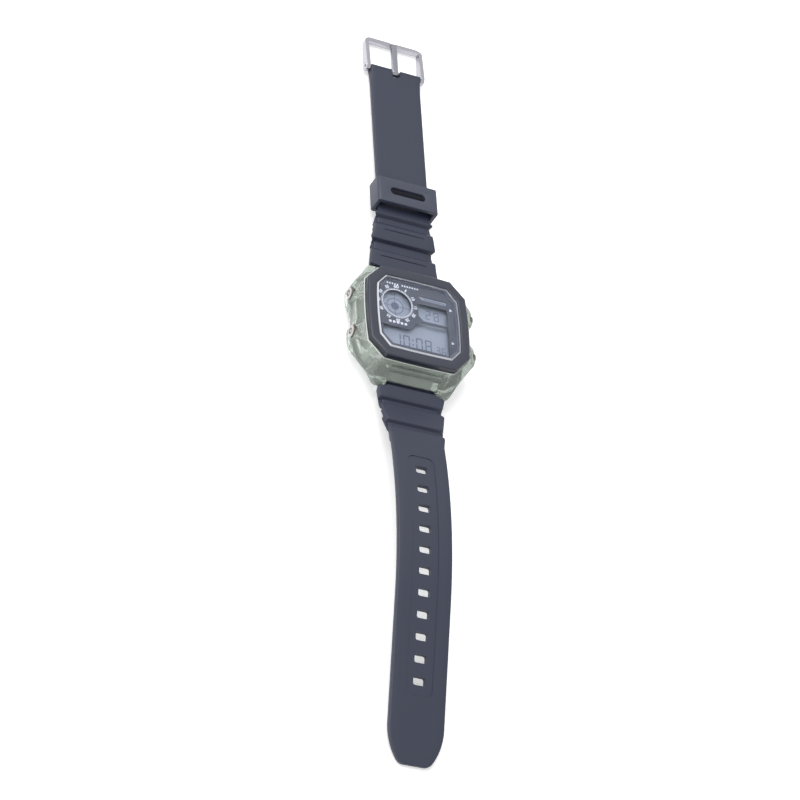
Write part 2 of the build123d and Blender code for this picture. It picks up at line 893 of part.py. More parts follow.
def light_guide():
    """Clear plate that spreads the lamp's light behind the display."""
    plate = block(
        [-light_guide_half_width, -light_guide_half_length, shelf_top_z],
        [light_guide_half_width, light_guide_half_length, light_guide_top_z],
    )
    low_x = light_guide_half_width - lamp_width - board_gap
    room = block(
        [low_x, -lamp_length / 2 - board_gap, shelf_top_z - overrun],
        [light_guide_half_width + overrun, lamp_length / 2 + board_gap, light_guide_top_z + overrun],
    )
    return plate - room


def lamp():
    """Small lamp let into the light guide's edge."""
    return block(
        [light_guide_half_width - lamp_width, -lamp_length / 2, shelf_top_z],
        [light_guide_half_width, lamp_length / 2, shelf_top_z + lamp_height],
    )


def circuit_board():
    """Board that fills the frame between the battery and the shelf."""
    board = block(
        [-panel_half_width, -panel_half_length, board_base_z],
        [panel_half_width, panel_half_length, board_top_z],
    )
    corner = module_cut - module_wall
    upright = [edge for edge in board.edges().filter_by(Axis.Z)]
    return chamfer(upright, corner)


def controller_chip():
    """Square packaged controller on the board."""
    low = [chip_x - chip_length / 2, chip_y - chip_width / 2, board_top_z]
    high = [chip_x + chip_length / 2, chip_y + chip_width / 2, board_top_z + chip_height]
    return block(low, high)


def timing_crystal():
    """Can of the timing crystal, lying on the board."""
    centre_z = board_top_z + timing_crystal_radius - board_gap
    start = (timing_crystal_x, timing_crystal_y, centre_z)
    end = (timing_crystal_x + timing_crystal_length, timing_crystal_y, centre_z)
    can = rod("X", start, end, timing_crystal_radius)
    flat = block(
        [timing_crystal_x - overrun, timing_crystal_y - overrun, board_top_z - overrun],
        [end[0] + overrun, timing_crystal_y + overrun, board_top_z],
    )
    return can - flat


def chip_components():
    """Row of small chip parts on the board."""
    parts = []
    for index in range(component_count):
        x = component_row_x + index * component_pitch
        low = [x, component_row_y, board_top_z]
        high = [x + component_length, component_row_y + component_width, board_top_z + component_height]
        parts.append(block(low, high))
    return Compound(children=parts)


def stem_end_x():
    """Inner end of a button's stem at rest."""
    return cavity_half_width - clip_thickness - running_gap - clip_thickness


def contact_face_x():
    """Outer face of a contact leaf, just past the stem's travel."""
    return stem_end_x() - button_travel - running_gap


def button_contact_springs():
    """One leaf per button, standing on the board."""
    leaves = []
    for _, hand, place_y in button_places():
        face_x = contact_face_x()
        low_y = place_y - contact_width / 2
        high_y = place_y + contact_width / 2
        foot = block(
            [face_x - contact_foot, low_y, board_top_z],
            [face_x, high_y, board_top_z + contact_thickness],
        )
        leaf = block(
            [face_x - contact_thickness, low_y, board_top_z],
            [face_x, high_y, board_top_z + contact_height],
        )
        spring = foot + leaf
        leaves.append(spring if hand > 0 else mirror(spring, about=Plane.YZ))
    return Compound(children=leaves)


def battery():
    """Coin cell."""
    cell = rod("Z", (0, battery_y, battery_base_z), (0, battery_y, battery_top_z), battery_radius)
    return fillet(cell.edges().filter_by(GeomType.CIRCLE), battery_edge_radius)


def battery_clamp():
    """Steel strap under the cell, with a leg up to the board on each side."""
    leg_x = battery_radius + clamp_leg_gap
    low_y = battery_y - clamp_width / 2
    high_y = battery_y + clamp_width / 2
    strap = block(
        [-leg_x - clamp_thickness, low_y, insulator_top_z],
        [leg_x + clamp_thickness, high_y, battery_base_z],
    )
    for hand in (-1, 1):
        near = hand * leg_x
        far = hand * (leg_x + clamp_thickness)
        strap += block(
            [min(near, far), low_y, insulator_top_z],
            [max(near, far), high_y, board_base_z],
        )
    return strap


def battery_contact():
    """Plate between the cell's upper face and the board."""
    low = [-minus_contact_length / 2, battery_y - minus_contact_width / 2, battery_top_z]
    high = [minus_contact_length / 2, battery_y + minus_contact_width / 2, board_base_z]
    return block(low, high)


def battery_insulator():
    """Thin sheet between the sounder and the module, with a hole for the sounder's spring."""
    sheet = prism(cavity_outline(-insulator_inset), sounder_top_z, insulator_top_z)
    hole_radius = sounder_spring_radius + sounder_spring_wire_radius + board_gap
    centre = (0, sounder_spring_y)
    return sheet - rod("Z", (*centre, 0), (*centre, battery_base_z), hole_radius)


def sounder_disc():
    """Sounder disc bonded inside the case back."""
    return rod("Z", (0, 0, back_thickness), (0, 0, sounder_top_z), sounder_radius)


def sounder_spring():
    """Spring that feeds the sounder from the board."""
    height = board_base_z - sounder_top_z
    body = coil(sounder_spring_radius, sounder_spring_wire_radius, height, sounder_spring_turns)
    return Pos(0, sounder_spring_y, sounder_top_z) * body


def case_back():
    """Steel plate with four stepped screw holes."""
    plate = prism(back_outline(0), 0, back_thickness)
    plate = chamfer(plate.faces().sort_by(Axis.Z)[0].edges(), back_bevel)
    for x, y in screw_places():
        plate -= rod("Z", (x, y, -overrun), (x, y, back_thickness + overrun), screw_radius + running_gap)
        plate -= rod("Z", (x, y, -overrun), (x, y, screw_head_height), screw_head_radius + running_gap)
    return plate


def case_back_gasket():
    """Rubber ring in its groove above the case back."""
    return prism(gasket_ring(), back_thickness, back_thickness + back_gasket_thickness)


def case_back_screws():
    """Four slotted screws."""
    screws = []
    for x, y in screw_places():
        head = rod("Z", (x, y, 0), (x, y, screw_head_height), screw_head_radius)
        tip_z = back_thickness + screw_hole_depth - running_gap
        shank = rod("Z", (x, y, screw_head_height), (x, y, tip_z), screw_radius)
        slot = block(
            [x - screw_head_radius, y - screw_slot_width / 2, -overrun],
            [x + screw_head_radius, y + screw_slot_width / 2, screw_slot_depth],
        )
        screws.append(head + shank - slot)
    return Compound(children=screws)


def place_button_piece(piece, side, place_y):
    """Piece drawn along +X at the origin's height, moved to its button."""
    turned = piece if side > 0 else mirror(piece, about=Plane.YZ)
    return Pos(0, place_y, button_z) * turned


def button_body():
    """Cap with a shallow dome and dimple, and its stem with a clip groove."""
    back_x = button_face_x - button_cap_thickness
    rim_x = button_face_x - button_dome
    cap = rod("X", (back_x, 0, 0), (button_face_x, 0, 0), button_radius)
    dome_radius = (button_radius ** 2 + button_dome ** 2) / (2 * button_dome)
    ball = Pos(button_face_x - dome_radius, 0, 0) * Sphere(dome_radius)
    cap = cap & (ball + rod("X", (back_x - overrun, 0, 0), (rim_x, 0, 0), button_radius))
    cap -= rod(
        "X",
        (button_face_x - button_dimple_depth, 0, 0),
        (button_face_x + overrun, 0, 0),
        button_dimple_radius,
    )
    stem = rod("X", (stem_end_x(), 0, 0), (back_x, 0, 0), button_stem_radius)
    groove_start = stem_end_x() + clip_thickness
    groove = rod("X", (groove_start, 0, 0), (groove_start + clip_thickness, 0, 0), button_stem_radius + overrun)
    core = rod("X", (groove_start, 0, 0), (groove_start + clip_thickness, 0, 0), clip_groove_radius)
    return cap + (stem - groove) + core


def button_clip():
    """Open ring in the stem's groove, which stops the button from leaving its bore."""
    start = stem_end_x() + clip_thickness
    end = start + clip_thickness
    ring = rod("X", (start, 0, 0), (end, 0, 0), clip_radius)
    ring -= rod("X", (start - overrun, 0, 0), (end + overrun, 0, 0), clip_groove_radius)
    mouth = block(
        [start - overrun, -clip_mouth_width / 2, 0],
        [end + overrun, clip_mouth_width / 2, clip_radius + overrun],
    )
    return ring - mouth


def button_seals():
    """Rubber ring in the groove of each button's bore."""
    seals = []
    for _, side, place_y in button_places():
        start = seal_x - seal_length / 2
        end = seal_x + seal_length / 2
        ring = rod("X", (start, 0, 0), (end, 0, 0), seal_radius)
        ring -= rod("X", (start - overrun, 0, 0), (end + overrun, 0, 0), button_stem_radius + running_gap / 2)
        seals.append(place_button_piece(ring, side, place_y))
    return Compound(children=seals)


def button_spring():
    """Return spring between the pocket's floor and the cap."""
    height = button_face_x - button_cap_thickness - button_pocket_floor_x
    body = coil(button_spring_radius, button_spring_wire_radius, height, button_spring_turns)
    return Pos(button_pocket_floor_x, 0, 0) * Rot(0, 90, 0) * body


def strap_state(moves, distance):
    """Place and heading of a strap's middle line at a length from its pin, away from the case."""
    y = pin_y
    z = pin_z
    heading = 0
    for length, turn in moves:
        step = min(length, distance)
        angle = radians(turn) * step / length
        if turn == 0:
            y += step * cos(heading)
            z += step * sin(heading)
        else:
            radius = length / radians(turn)
            y += radius * (sin(heading + angle) - sin(heading))
            z += radius * (cos(heading) - cos(heading + angle))
            heading += angle
        distance -= step
        if distance <= 0:
            break
    return y, z, heading


def strap_point(moves, distance, lift):
    """Point of the strap's side view, lifted square off its middle line."""
    y, z, heading = strap_state(moves, distance)
    return (0, y - lift * sin(heading), z + lift * cos(heading))


def strap_length(moves):
    """Length of a strap's middle line from its pin."""
    return sum(length for length, _ in moves)


def strap_edges(moves, start, end, lift):
    """Lines and arcs that follow the strap between two lengths from the pin."""
    edges = []
    reached = 0
    for length, turn in moves:
        low = max(start, reached)
        high = min(end, reached + length)
        reached += length
        if high - low <= 0:
            continue
        first = strap_point(moves, low, lift)
        last = strap_point(moves, high, lift)
        if turn == 0:
            edges.append(Line(first, last))
        else:
            edges.append(ThreePointArc(first, strap_point(moves, (low + high) / 2, lift), last))
    return edges


def strap_band(moves, start, end, low, high, slant, half_width):
    """Stretch of strap between two lifts. Its top is shorter by the slant at each end."""
    top = strap_edges(moves, start + slant, end - slant, high)
    bottom = strap_edges(moves, start, end, low)
    near = Line(strap_point(moves, start, low), strap_point(moves, start + slant, high))
    far = Line(strap_point(moves, end, low), strap_point(moves, end - slant, high))
    face = Face(Wire(top + bottom + [near, far]))
    return extrude(face, amount=half_width, dir=(1, 0, 0), both=True)


def plan_prism(corners, height):
    """Tall prism over an outline given by the corners of its +X side."""
    points = corners + [(-x, y) for x, y in reversed(corners)]
    return prism(polygon(points), pin_z - height, pin_z + height)


def rib_spans(lengths):
    """Start and end of each rib, measured from the pin."""
    spans = []
    start = rib_start
    for length in lengths:
        spans.append((start, start + length))
        start += length + groove_width
    return spans


def tapered_width(half_widths, lengths, distance):
    """Half width of the ribs at a length from the pin."""
    reached = rib_start
    for index, length in enumerate(lengths):
        far = reached + length
        if distance <= far:
            share = (distance - reached) / length
            return half_widths[index] + share * (half_widths[index + 1] - half_widths[index])
        reached = far + groove_width
    return half_widths[-1]


def rib_part(moves, span, low, high, slant, sides):
    """Stretch of one rib between two lifts, with cut corners in plan."""
    start, end = span
    near, far = sides
    low_y = strap_state(moves, start)[0]
    high_y = strap_state(moves, end)[0]
    band = strap_band(moves, start, end, low, high, slant, lug_rib_half_width + overrun)
    corners = [
        (near - rib_corner, low_y - overrun),
        (near - rib_corner, low_y),
        (near, low_y + rib_corner),
        (far, high_y - rib_corner),
        (far - rib_corner, high_y),
        (far - rib_corner, high_y + overrun),
    ]
    return band & plan_prism(corners, strap_length(moves))


def strap_ribs(moves, lengths, half_widths):
    """Ribs by the case: a wide upper part with slanted ends and a narrower foot."""
    ribs = []
    skirt = strap_half_thickness - rib_skirt
    foot = -strap_half_thickness - rib_drop
    for start, end in rib_spans(lengths):
        near = tapered_width(half_widths, lengths, start)
        far = tapered_width(half_widths, lengths, end)
        top_sides = (near, far)
        foot_sides = (near - rib_undercut, far - rib_undercut)
        foot_span = (start + rib_slant, end - rib_slant)
        top = rib_part(moves, (start, end), skirt, strap_half_thickness, rib_slant, top_sides)
        under = rib_part(moves, foot_span, foot, skirt, 0, foot_sides)
        ribs.append(top + under)
    return ribs


def strap_core(moves, lengths, half_widths):
    """Thinner web that joins the ribs under their grooves."""
    spans = rib_spans(lengths)
    end = spans[-1][0] + rib_corner
    near_y = strap_state(moves, rib_start)[0]
    far_y = strap_state(moves, end)[0]
    near = half_widths[0] - rib_side_notch
    far = half_widths[-2] - rib_side_notch
    band = strap_band(
        moves,
        rib_start + rib_slant,
        end,
        -strap_half_thickness,
        strap_half_thickness - groove_depth,
        0,
        lug_rib_half_width,
    )
    corners = [(near, near_y), (far, far_y), (far, far_y + overrun)]
    return band & plan_prism(corners, strap_length(moves))


def strap_root(moves):
    """Knuckle round the lug pin and the neck between the lugs."""
    half = lug_half_gap - soft_gap
    end = rib_start + rib_slant + overrun
    neck = strap_band(
        moves, 0, end, -strap_half_thickness, strap_half_thickness - groove_depth / 2, 0, half
    )
    knuckle = rod("X", (-half, pin_y, pin_z), (half, pin_y, pin_z), knuckle_radius)
    return neck + knuckle


def strap_tail(moves, start, end):
    """Plain stretch of strap with rounded long edges."""
    band = strap_band(
        moves, start, end, -strap_half_thickness, strap_half_thickness, 0, strap_half_width
    )
    sides = band.faces().filter_by(Axis.X)
    edges = [edge for face in sides for edge in face.edges()]
    end_rows = [strap_state(moves, place)[0] for place in (start, end)]
    long_edges = [edge for edge in edges if not is_end_edge(edge, end_rows)]
    return fillet(long_edges, strap_edge_round)


def is_end_edge(edge, end_rows):
    """True for the short upright edges at the two ends of a band."""
    middle = edge.position_at(1 / 2).Y
    return edge.length < 3 * strap_half_thickness and any(abs(middle - row) < overrun for row in end_rows)


def fine_line(moves, distance, half_length):
    """Engraved line across a rib."""
    return strap_band(
        moves,
        distance - fine_line_width / 2,
        distance + fine_line_width / 2,
        strap_half_thickness - fine_line_depth,
        strap_half_thickness + overrun,
        0,
        half_length,
    )


def pin_bore():
    """Hole through the strap's root for the lug pin."""
    reach = lug_half_gap + overrun
    return rod("X", (-reach, pin_y, pin_z), (reach, pin_y, pin_z), pin_tube_radius + running_gap)


def strap_body(moves, lengths, half_widths, end):
    """Root, ribs, web and plain tail of one half, fused."""
    tail_start = rib_spans(lengths)[-1][0] + rib_corner
    body = strap_root(moves) + strap_core(moves, lengths, half_widths)
    for rib in strap_ribs(moves, lengths, half_widths):
        body += rib
    return body + strap_tail(moves, tail_start, end)


def strap_hole(distance):
    """Cutter for one buckle hole of the tip half, square to the strap."""
    y, z, heading = strap_state(tip_moves, distance)
    face = RectangleRounded(hole_width, hole_length, hole_corner_radius)
    depth = strap_half_thickness + overrun
    cutter = extrude(face, amount=depth, dir=(0, 0, 1), both=True)
    return Pos(0, y, z) * Rot(degrees(heading), 0, 0) * cutter


def tip_nose_side(hand, start_y, end_y):
    """Arc of one side of the nose, which leaves the strap's edge without a kink."""
    near = (hand * strap_half_width, start_y)
    far = (hand * tip_end_half_width, end_y)
    return TangentArc(near, far, tangent=(0, 1))


def tip_nose_cutter(end):
    """What is cut off round the strap's blunt tip."""
    end_y = strap_state(tip_moves, end)[0]
    start_y = end_y - tip_nose_length
    reach = strap_half_width + overrun
    depth = strap_length(tip_moves)
    rest = prism(
        polygon([(-reach, start_y), (reach, start_y), (reach, end_y + overrun), (-reach, end_y + overrun)]),
        pin_z - depth,
        pin_z + depth,
    )
    sides = [tip_nose_side(hand, start_y, end_y) for hand in (-1, 1)]
    root = Line((-strap_half_width, start_y), (strap_half_width, start_y))
    front = Line((-tip_end_half_width, end_y), (tip_end_half_width, end_y))
    nose = make_face(Wire([*sides, root, front]))
    nose = fillet(nose.vertices().sort_by(Axis.Y)[-2:], tip_end_corner)
    return rest - prism(nose, pin_z - depth, pin_z + depth)


def panel_recess():
    """Shallow recess round the row of buckle holes, with round corners."""
    start = first_hole_from_pin - panel_recess_lead
    end = first_hole_from_pin + (hole_count - 1) * hole_pitch + panel_recess_tail
    half = panel_recess_half_width
    band = strap_band(
        tip_moves,
        start,
        end,
        strap_half_thickness - panel_recess_depth,
        strap_half_thickness + overrun,
        0,
        half,
    )
    low_y = strap_state(tip_moves, start)[0]
    high_y = strap_state(tip_moves, end)[0]
    outline = Pos(0, (low_y + high_y) / 2) * RectangleRounded(2 * half, high_y - low_y, panel_recess_corner)
    depth = strap_length(tip_moves)
    return band & prism(outline, pin_z - depth, pin_z + depth)


def strap_tip_side():
    """Half with the buckle holes, lying to six o'clock."""
    end = strap_length(tip_moves)
    body = strap_body(tip_moves, tip_rib_lengths, tip_rib_half_widths, end)
    body -= tip_nose_cutter(end)
    body -= panel_recess()
    body -= fine_line(tip_moves, tip_fine_line_from_pin, tip_fine_line_half_length)
    for index in range(hole_count):
        body -= strap_hole(first_hole_from_pin + index * hole_pitch)
    body -= pin_bore()
    return mirror(body, about=Plane.XZ)


def buckle_bar_place():
    """Middle of the buckle's bar and the strap's heading there."""
    y, z, heading = strap_state(buckle_moves, strap_length(buckle_moves))
    return y, z, heading


def strap_buckle_side():
    """Half that carries the buckle and the keeper, lying to twelve o'clock."""
    end = strap_length(buckle_moves)
    body = strap_body(buckle_moves, buckle_rib_lengths, buckle_rib_half_widths, end)
    for place in buckle_fine_lines_from_pin:
        body -= fine_line(buckle_moves, place, buckle_fine_line_half_length)
    bar_y, bar_z, _ = buckle_bar_place()
    half = strap_half_width
    body += rod("X", (-half, bar_y, bar_z), (half, bar_y, bar_z), end_knuckle_radius)
    reach = half + overrun
    body -= rod("X", (-reach, bar_y, bar_z), (reach, bar_y, bar_z), bar_radius + running_gap)
    notch = tongue_notch_half_width
    room = end_knuckle_radius + overrun
    body -= block(
        [-notch, bar_y - tongue_notch_depth + notch, bar_z - room],
        [notch, bar_y + room, bar_z + room],
    )
    round_end = (0, bar_y - tongue_notch_depth + notch)
    body -= rod("Z", (*round_end, bar_z - room), (*round_end, bar_z + room), notch)
    return body - pin_bore()


def keeper_frame():
    """Place of the keeper's middle and its tilt about X."""
    y, z, heading = strap_state(buckle_moves, keeper_from_pin + keeper_length / 2)
    return Pos(0, y, z) * Rot(degrees(heading), 0, 0)


def strap_keeper():
    """Loop that holds the strap's free end, with a slot in its top."""
    inner_half = strap_half_width + soft_gap
    outer_half = inner_half + keeper_wall
    inner_low = -strap_half_thickness - soft_gap
    inner_high = strap_half_thickness + keeper_headroom
    outer = block(
        [-outer_half, -keeper_length / 2, inner_low - keeper_wall],
        [outer_half, keeper_length / 2, inner_high + keeper_wall],
    )
    outer = fillet(outer.edges().filter_by(Axis.Y), keeper_corner_radius)
    inner = block(
        [-inner_half, -keeper_length / 2 - overrun, inner_low],
        [inner_half, keeper_length / 2 + overrun, inner_high],
    )
    slot = SlotOverall(2 * keeper_slot_half_length, keeper_slot_width)
    slot_cutter = prism(slot, inner_high - overrun, inner_high + keeper_wall + overrun)
    return keeper_frame() * (outer - inner - slot_cutter)


def ear_plan(half_width):
    """Outline behind the bar that leaves the arms' round ends whole."""
    near = -arm_ear_radius
    return polygon([(-half_width, near), (half_width, near), (half_width, 0), (-half_width, 0)])


def buckle_arm(hand):
    """Upright plate on one side of the strap, tapering from its ear to the cross bar."""
    near = hand * (strap_half_width + arm_gap)
    away = near + hand * arm_width
    low, high = min(near, away), max(near, away)
    far = frame_reach - arm_half_height
    side = [
        (low, 0, -arm_ear_radius),
        (low, far, -arm_half_height),
        (low, far, arm_half_height),
        (low, 0, arm_ear_radius),
    ]
    plate = extrude(make_face(Polyline(*side, close=True)), amount=arm_width, dir=(1, 0, 0))
    ear = rod("X", (low, 0, 0), (high, 0, 0), arm_ear_radius)
    end = rod("X", (low, far, 0), (high, far, 0), arm_half_height)
    return plate + ear + end


def buckle_frame():
    """Steel loop: two arms on the bar and a cross bar with a notch for the tongue."""
    bar_y, bar_z, _ = buckle_bar_place()
    inner = strap_half_width + arm_gap
    outer = inner + arm_width
    far = frame_reach
    plan = make_face(Polyline(
        (-outer, 0), (outer, 0), (outer, far), (-outer, far), close=True,
    ))
    far_corners = plan.vertices().sort_by(Axis.Y)[-2:]
    plan = fillet(far_corners, frame_corner_radius)
    window = polygon([
        (-inner, -overrun), (inner, -overrun), (inner, far - frame_bar_width), (-inner, far - frame_bar_width),
    ])
    body = prism(plan - window, -frame_bar_half_height, frame_bar_half_height)
    for hand in (-1, 1):
        body += buckle_arm(hand) & prism(plan + ear_plan(outer), -arm_ear_radius, arm_ear_radius)
        start = (hand * (inner - overrun), 0, 0)
        end = (hand * (outer + overrun), 0, 0)
        body -= rod("X", start, end, pin_tip_radius + running_gap)
    notch_half = tongue_half_width + running_gap
    notch_floor = frame_bar_half_height - frame_notch_depth
    body -= block(
        [-notch_half, far - frame_bar_width - overrun, notch_floor],
        [notch_half, far + overrun, frame_bar_half_height + overrun],
    )
    return Pos(0, bar_y, bar_z) * body


def buckle_tongue():
    """Prong: a ring on the bar and a finger that rests in the frame's notch."""
    bar_y, bar_z, _ = buckle_bar_place()
    half = tongue_half_width
    ring = rod("X", (-half, 0, 0), (half, 0, 0), tongue_knuckle_radius)
    floor = frame_bar_half_height - frame_notch_depth + running_gap
    root_floor = tongue_knuckle_radius - tongue_thickness
    reach = frame_reach + tongue_overhang
    side = [
        (0, 0, root_floor),
        (0, tongue_knuckle_radius, root_floor),
        (0, frame_reach - frame_bar_width - tongue_thickness, floor),
        (0, reach, floor),
        (0, reach, floor + tongue_thickness / 2),
        (0, frame_reach - frame_bar_width / 2, floor + tongue_thickness),
        (0, 0, tongue_knuckle_radius),
    ]
    finger = extrude(make_face(Polyline(*side, close=True)), amount=half, dir=(1, 0, 0), both=True)
    reach_x = half + overrun
    hole = rod("X", (-reach_x, 0, 0), (reach_x, 0, 0), bar_radius + running_gap)
    return Pos(0, bar_y, bar_z) * (ring + finger - hole)


def pin_tube(half_length, radius):
    """Tube of a sprung pin along X, drawn at the origin."""
    tube = rod("X", (-half_length, 0, 0), (half_length, 0, 0), radius)
    reach = half_length + overrun
    return tube - rod("X", (-reach, 0, 0), (reach, 0, 0), radius - pin_tube_wall)


def pin_tip(half_length, reach, radius):
    """Right-hand tip of a sprung pin: a collar inside the tube and a nose outside it."""
    collar_end = half_length - pin_tip_collar_length
    collar_start = collar_end - pin_tip_collar_length
    collar = rod("X", (collar_start, 0, 0), (collar_end, 0, 0), radius - pin_tube_wall - running_gap)
    nose = rod("X", (collar_end, 0, 0), (reach, 0, 0), pin_tip_radius)
    return collar + nose


def pin_spring(half_length, radius):
    """Spring between the two tips of a pin."""
    half = half_length - 2 * pin_tip_collar_length
    coil_radius = radius - pin_tube_wall - running_gap - pin_spring_wire_radius
    body = coil(coil_radius, pin_spring_wire_radius, 2 * half, pin_spring_turns)
    return Pos(-half, 0, 0) * Rot(0, 90, 0) * body


def pin_pieces(prefix, place, strap_half, nose_end, radius):
    """Tube, two tips and spring of one sprung pin, by node name."""
    half_length = strap_half - pin_tube_inset
    tip = pin_tip(half_length, nose_end, radius)
    return {
        prefix + "_tube": place * pin_tube(half_length, radius),
        prefix + "_tip_right": place * tip,
        prefix + "_tip_left": place * mirror(tip, about=Plane.YZ),
        prefix + "_spring": place * pin_spring(half_length, radius),
    }


def watch_pieces():
    """Every node of the watch by name."""
    pieces = {
        "case_shell": case_shell(),
        "bezel": bezel(),
        "crystal": crystal(),
        "crystal_gasket": crystal_gasket(),
        "face_mask": face_mask(),
        "dial_markings": dial_markings(),
        "lcd_front_glass": panel_sheet(
            panel_half_width, panel_half_length, front_glass_base_z, front_glass_top_z
        ),
        "lcd_rear_glass": panel_sheet(
            panel_half_width, panel_half_length, rear_glass_base_z, front_glass_base_z
        ),
        "lcd_polarisers": lcd_polarisers(),
        "lcd_segments": lcd_segments(),
        "lcd_connectors": lcd_connectors(),
        "light_guide": light_guide(),
        "lamp": lamp(),
        "module_frame": module_frame(),
        "circuit_board": circuit_board(),
        "controller_chip": controller_chip(),
        "timing_crystal": timing_crystal(),
        "chip_components": chip_components(),
        "button_contact_springs": button_contact_springs(),
        "battery": battery(),
        "battery_clamp": battery_clamp(),
        "battery_contact": battery_contact(),
        "battery_insulator": battery_insulator(),
        "sounder_disc": sounder_disc(),
        "sounder_spring": sounder_spring(),
        "case_back": case_back(),
        "case_back_gasket": case_back_gasket(),
        "case_back_screws": case_back_screws(),
        "button_seals": button_seals(),
        "strap_tip_side": strap_tip_side(),
        "strap_buckle_side": strap_buckle_side(),
        "strap_keeper": strap_keeper(),
        "buckle_frame": buckle_frame(),
        "buckle_tongue": buckle_tongue(),
    }
    for name, side, place_y in button_places():
        pieces["button_" + name] = place_button_piece(button_body(), side, place_y)
        pieces["button_clip_" + name] = place_button_piece(button_clip(), side, place_y)
        pieces["button_spring_" + name] = place_button_piece(button_spring(), side, place_y)
    lug_nose_end = lug_half_gap + pin_tip_reach
    strap_half = lug_half_gap - soft_gap
    for name, side in (("lug_pin_upper", 1), ("lug_pin_lower", -1)):
        place = Pos(0, side * pin_y, pin_z)
        pieces.update(pin_pieces(name, place, strap_half, lug_nose_end, pin_tube_radius))
    bar_y, bar_z, _ = buckle_bar_place()
    arm_inner = strap_half_width + arm_gap
    nose_end = arm_inner + arm_width * 3 / 4
    pieces.update(pin_pieces("buckle_bar", Pos(0, bar_y, bar_z), strap_half_width, nose_end, bar_radius))
    return pieces


def main():
    """Write one file per node."""
    os.makedirs("parts", exist_ok=True)
    for name, piece in watch_pieces().items():
        export_step(piece, os.path.join("parts", name + ".step"))


if __name__ == "__main__":
    main()
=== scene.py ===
import json
from math import cos, pi, radians, sin, sqrt

import bmesh
import bpy
import numpy as np
from bpy.props import FloatProperty, FloatVectorProperty, IntProperty, PointerProperty
from mathutils import Euler, Matrix, Vector


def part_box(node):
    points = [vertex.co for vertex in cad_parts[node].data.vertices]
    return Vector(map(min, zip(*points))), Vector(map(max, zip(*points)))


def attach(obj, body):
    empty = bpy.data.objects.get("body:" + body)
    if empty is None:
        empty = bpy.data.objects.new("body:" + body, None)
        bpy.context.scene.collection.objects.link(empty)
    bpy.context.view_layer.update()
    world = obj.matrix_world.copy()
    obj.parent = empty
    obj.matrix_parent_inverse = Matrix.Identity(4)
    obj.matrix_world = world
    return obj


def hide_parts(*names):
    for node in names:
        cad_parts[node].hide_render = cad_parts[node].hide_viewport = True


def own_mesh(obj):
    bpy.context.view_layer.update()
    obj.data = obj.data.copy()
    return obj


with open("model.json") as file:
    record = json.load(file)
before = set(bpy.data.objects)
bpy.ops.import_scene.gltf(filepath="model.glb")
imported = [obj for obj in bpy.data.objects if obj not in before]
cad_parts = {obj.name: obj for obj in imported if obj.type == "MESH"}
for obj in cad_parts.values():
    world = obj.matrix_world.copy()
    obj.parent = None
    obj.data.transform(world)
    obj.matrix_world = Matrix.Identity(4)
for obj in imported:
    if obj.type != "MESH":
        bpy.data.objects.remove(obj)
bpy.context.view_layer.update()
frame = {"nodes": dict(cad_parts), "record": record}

bl_info = {
    "name": "Digital watch",
    "version": (1, 0, 0),
    "blender": (4, 5, 0),
    "location": "3D View > Sidebar > Watch",
    "description": "Finishes and soft parts of a digital watch round its packed model",
    "category": "Object",
}

MM = 0.001
NODES = frame["nodes"]


def lowest(node_name):
    """Corner of a CAD node's box with its least x, y and z, in mm."""
    return Vector(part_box(node_name)[0]) / MM


def highest(node_name):
    """Corner of a CAD node's box with its greatest x, y and z, in mm."""
    return Vector(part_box(node_name)[1]) / MM


def linear(value):
    """Linear share of light of a screen value from 0 to 255."""
    share = value / 255
    return share / 12.92 if share <= 0.04045 else ((share + 0.055) / 1.055) ** 2.4


def srgb(red, green, blue):
    """Linear colour of a screen colour given from 0 to 255."""
    return (linear(red), linear(green), linear(blue))


# Settings

def colour(name, description, default):
    """Colour property whose default is a screen colour from 0 to 255."""
    return FloatVectorProperty(name=name, description=description, default=srgb(*default),
                               subtype="COLOR", min=0, max=1)


def length(name, description, default):
    """Length property whose default is given in mm."""
    return FloatProperty(name=name, description=description, default=default * MM,
                         subtype="DISTANCE", unit="LENGTH", precision=5)


class StageSettings(bpy.types.PropertyGroup):
    floor_tilt: FloatProperty(name="Floor tilt", description="Slope of the floor towards six o'clock",
                              default=radians(3.32), subtype="ANGLE", unit="ROTATION")
    floor_drop: length("Floor drop", "How far the floor lies below the case back at the case", 2.95)
    floor_colour: colour("Floor colour", "Colour of the floor", (246, 246, 246))
    key_power: FloatProperty(name="Key power", description="Power of the large lamp overhead", default=9.0)
    side_power: FloatProperty(name="Side power", description="Power of the lamp at the left", default=3.0)
    sky_strength: FloatProperty(name="Sky strength", description="Strength of the even light all round",
                                default=0.55)


class StrapSettings(bpy.types.PropertyGroup):
    rubber: colour("Rubber", "Colour of the strap's resin", (38, 43, 61))
    keeper_rubber: colour("Keeper rubber", "Colour of the keeper", (54, 58, 74))
    half_width: length("Half width", "Half the width of the plain strap", 9.1)
    half_thickness: length("Half thickness", "Half the strap's thickness", 0.9)
    edge_round: length("Edge rounding", "Rounding of the strap's long edges", 0.5)
    hole_width: length("Hole width", "Size of a buckle hole across the strap", 4.0)
    hole_length: length("Hole length", "Size of a buckle hole along the strap", 2.5)
    hole_pitch: length("Hole pitch", "Distance between buckle holes", 6.83)
    first_hole: length("First hole", "Distance of the first hole from the lug pin", 34.4)
    hole_count: IntProperty(name="Hole count", description="Number of buckle holes", default=11, min=1)


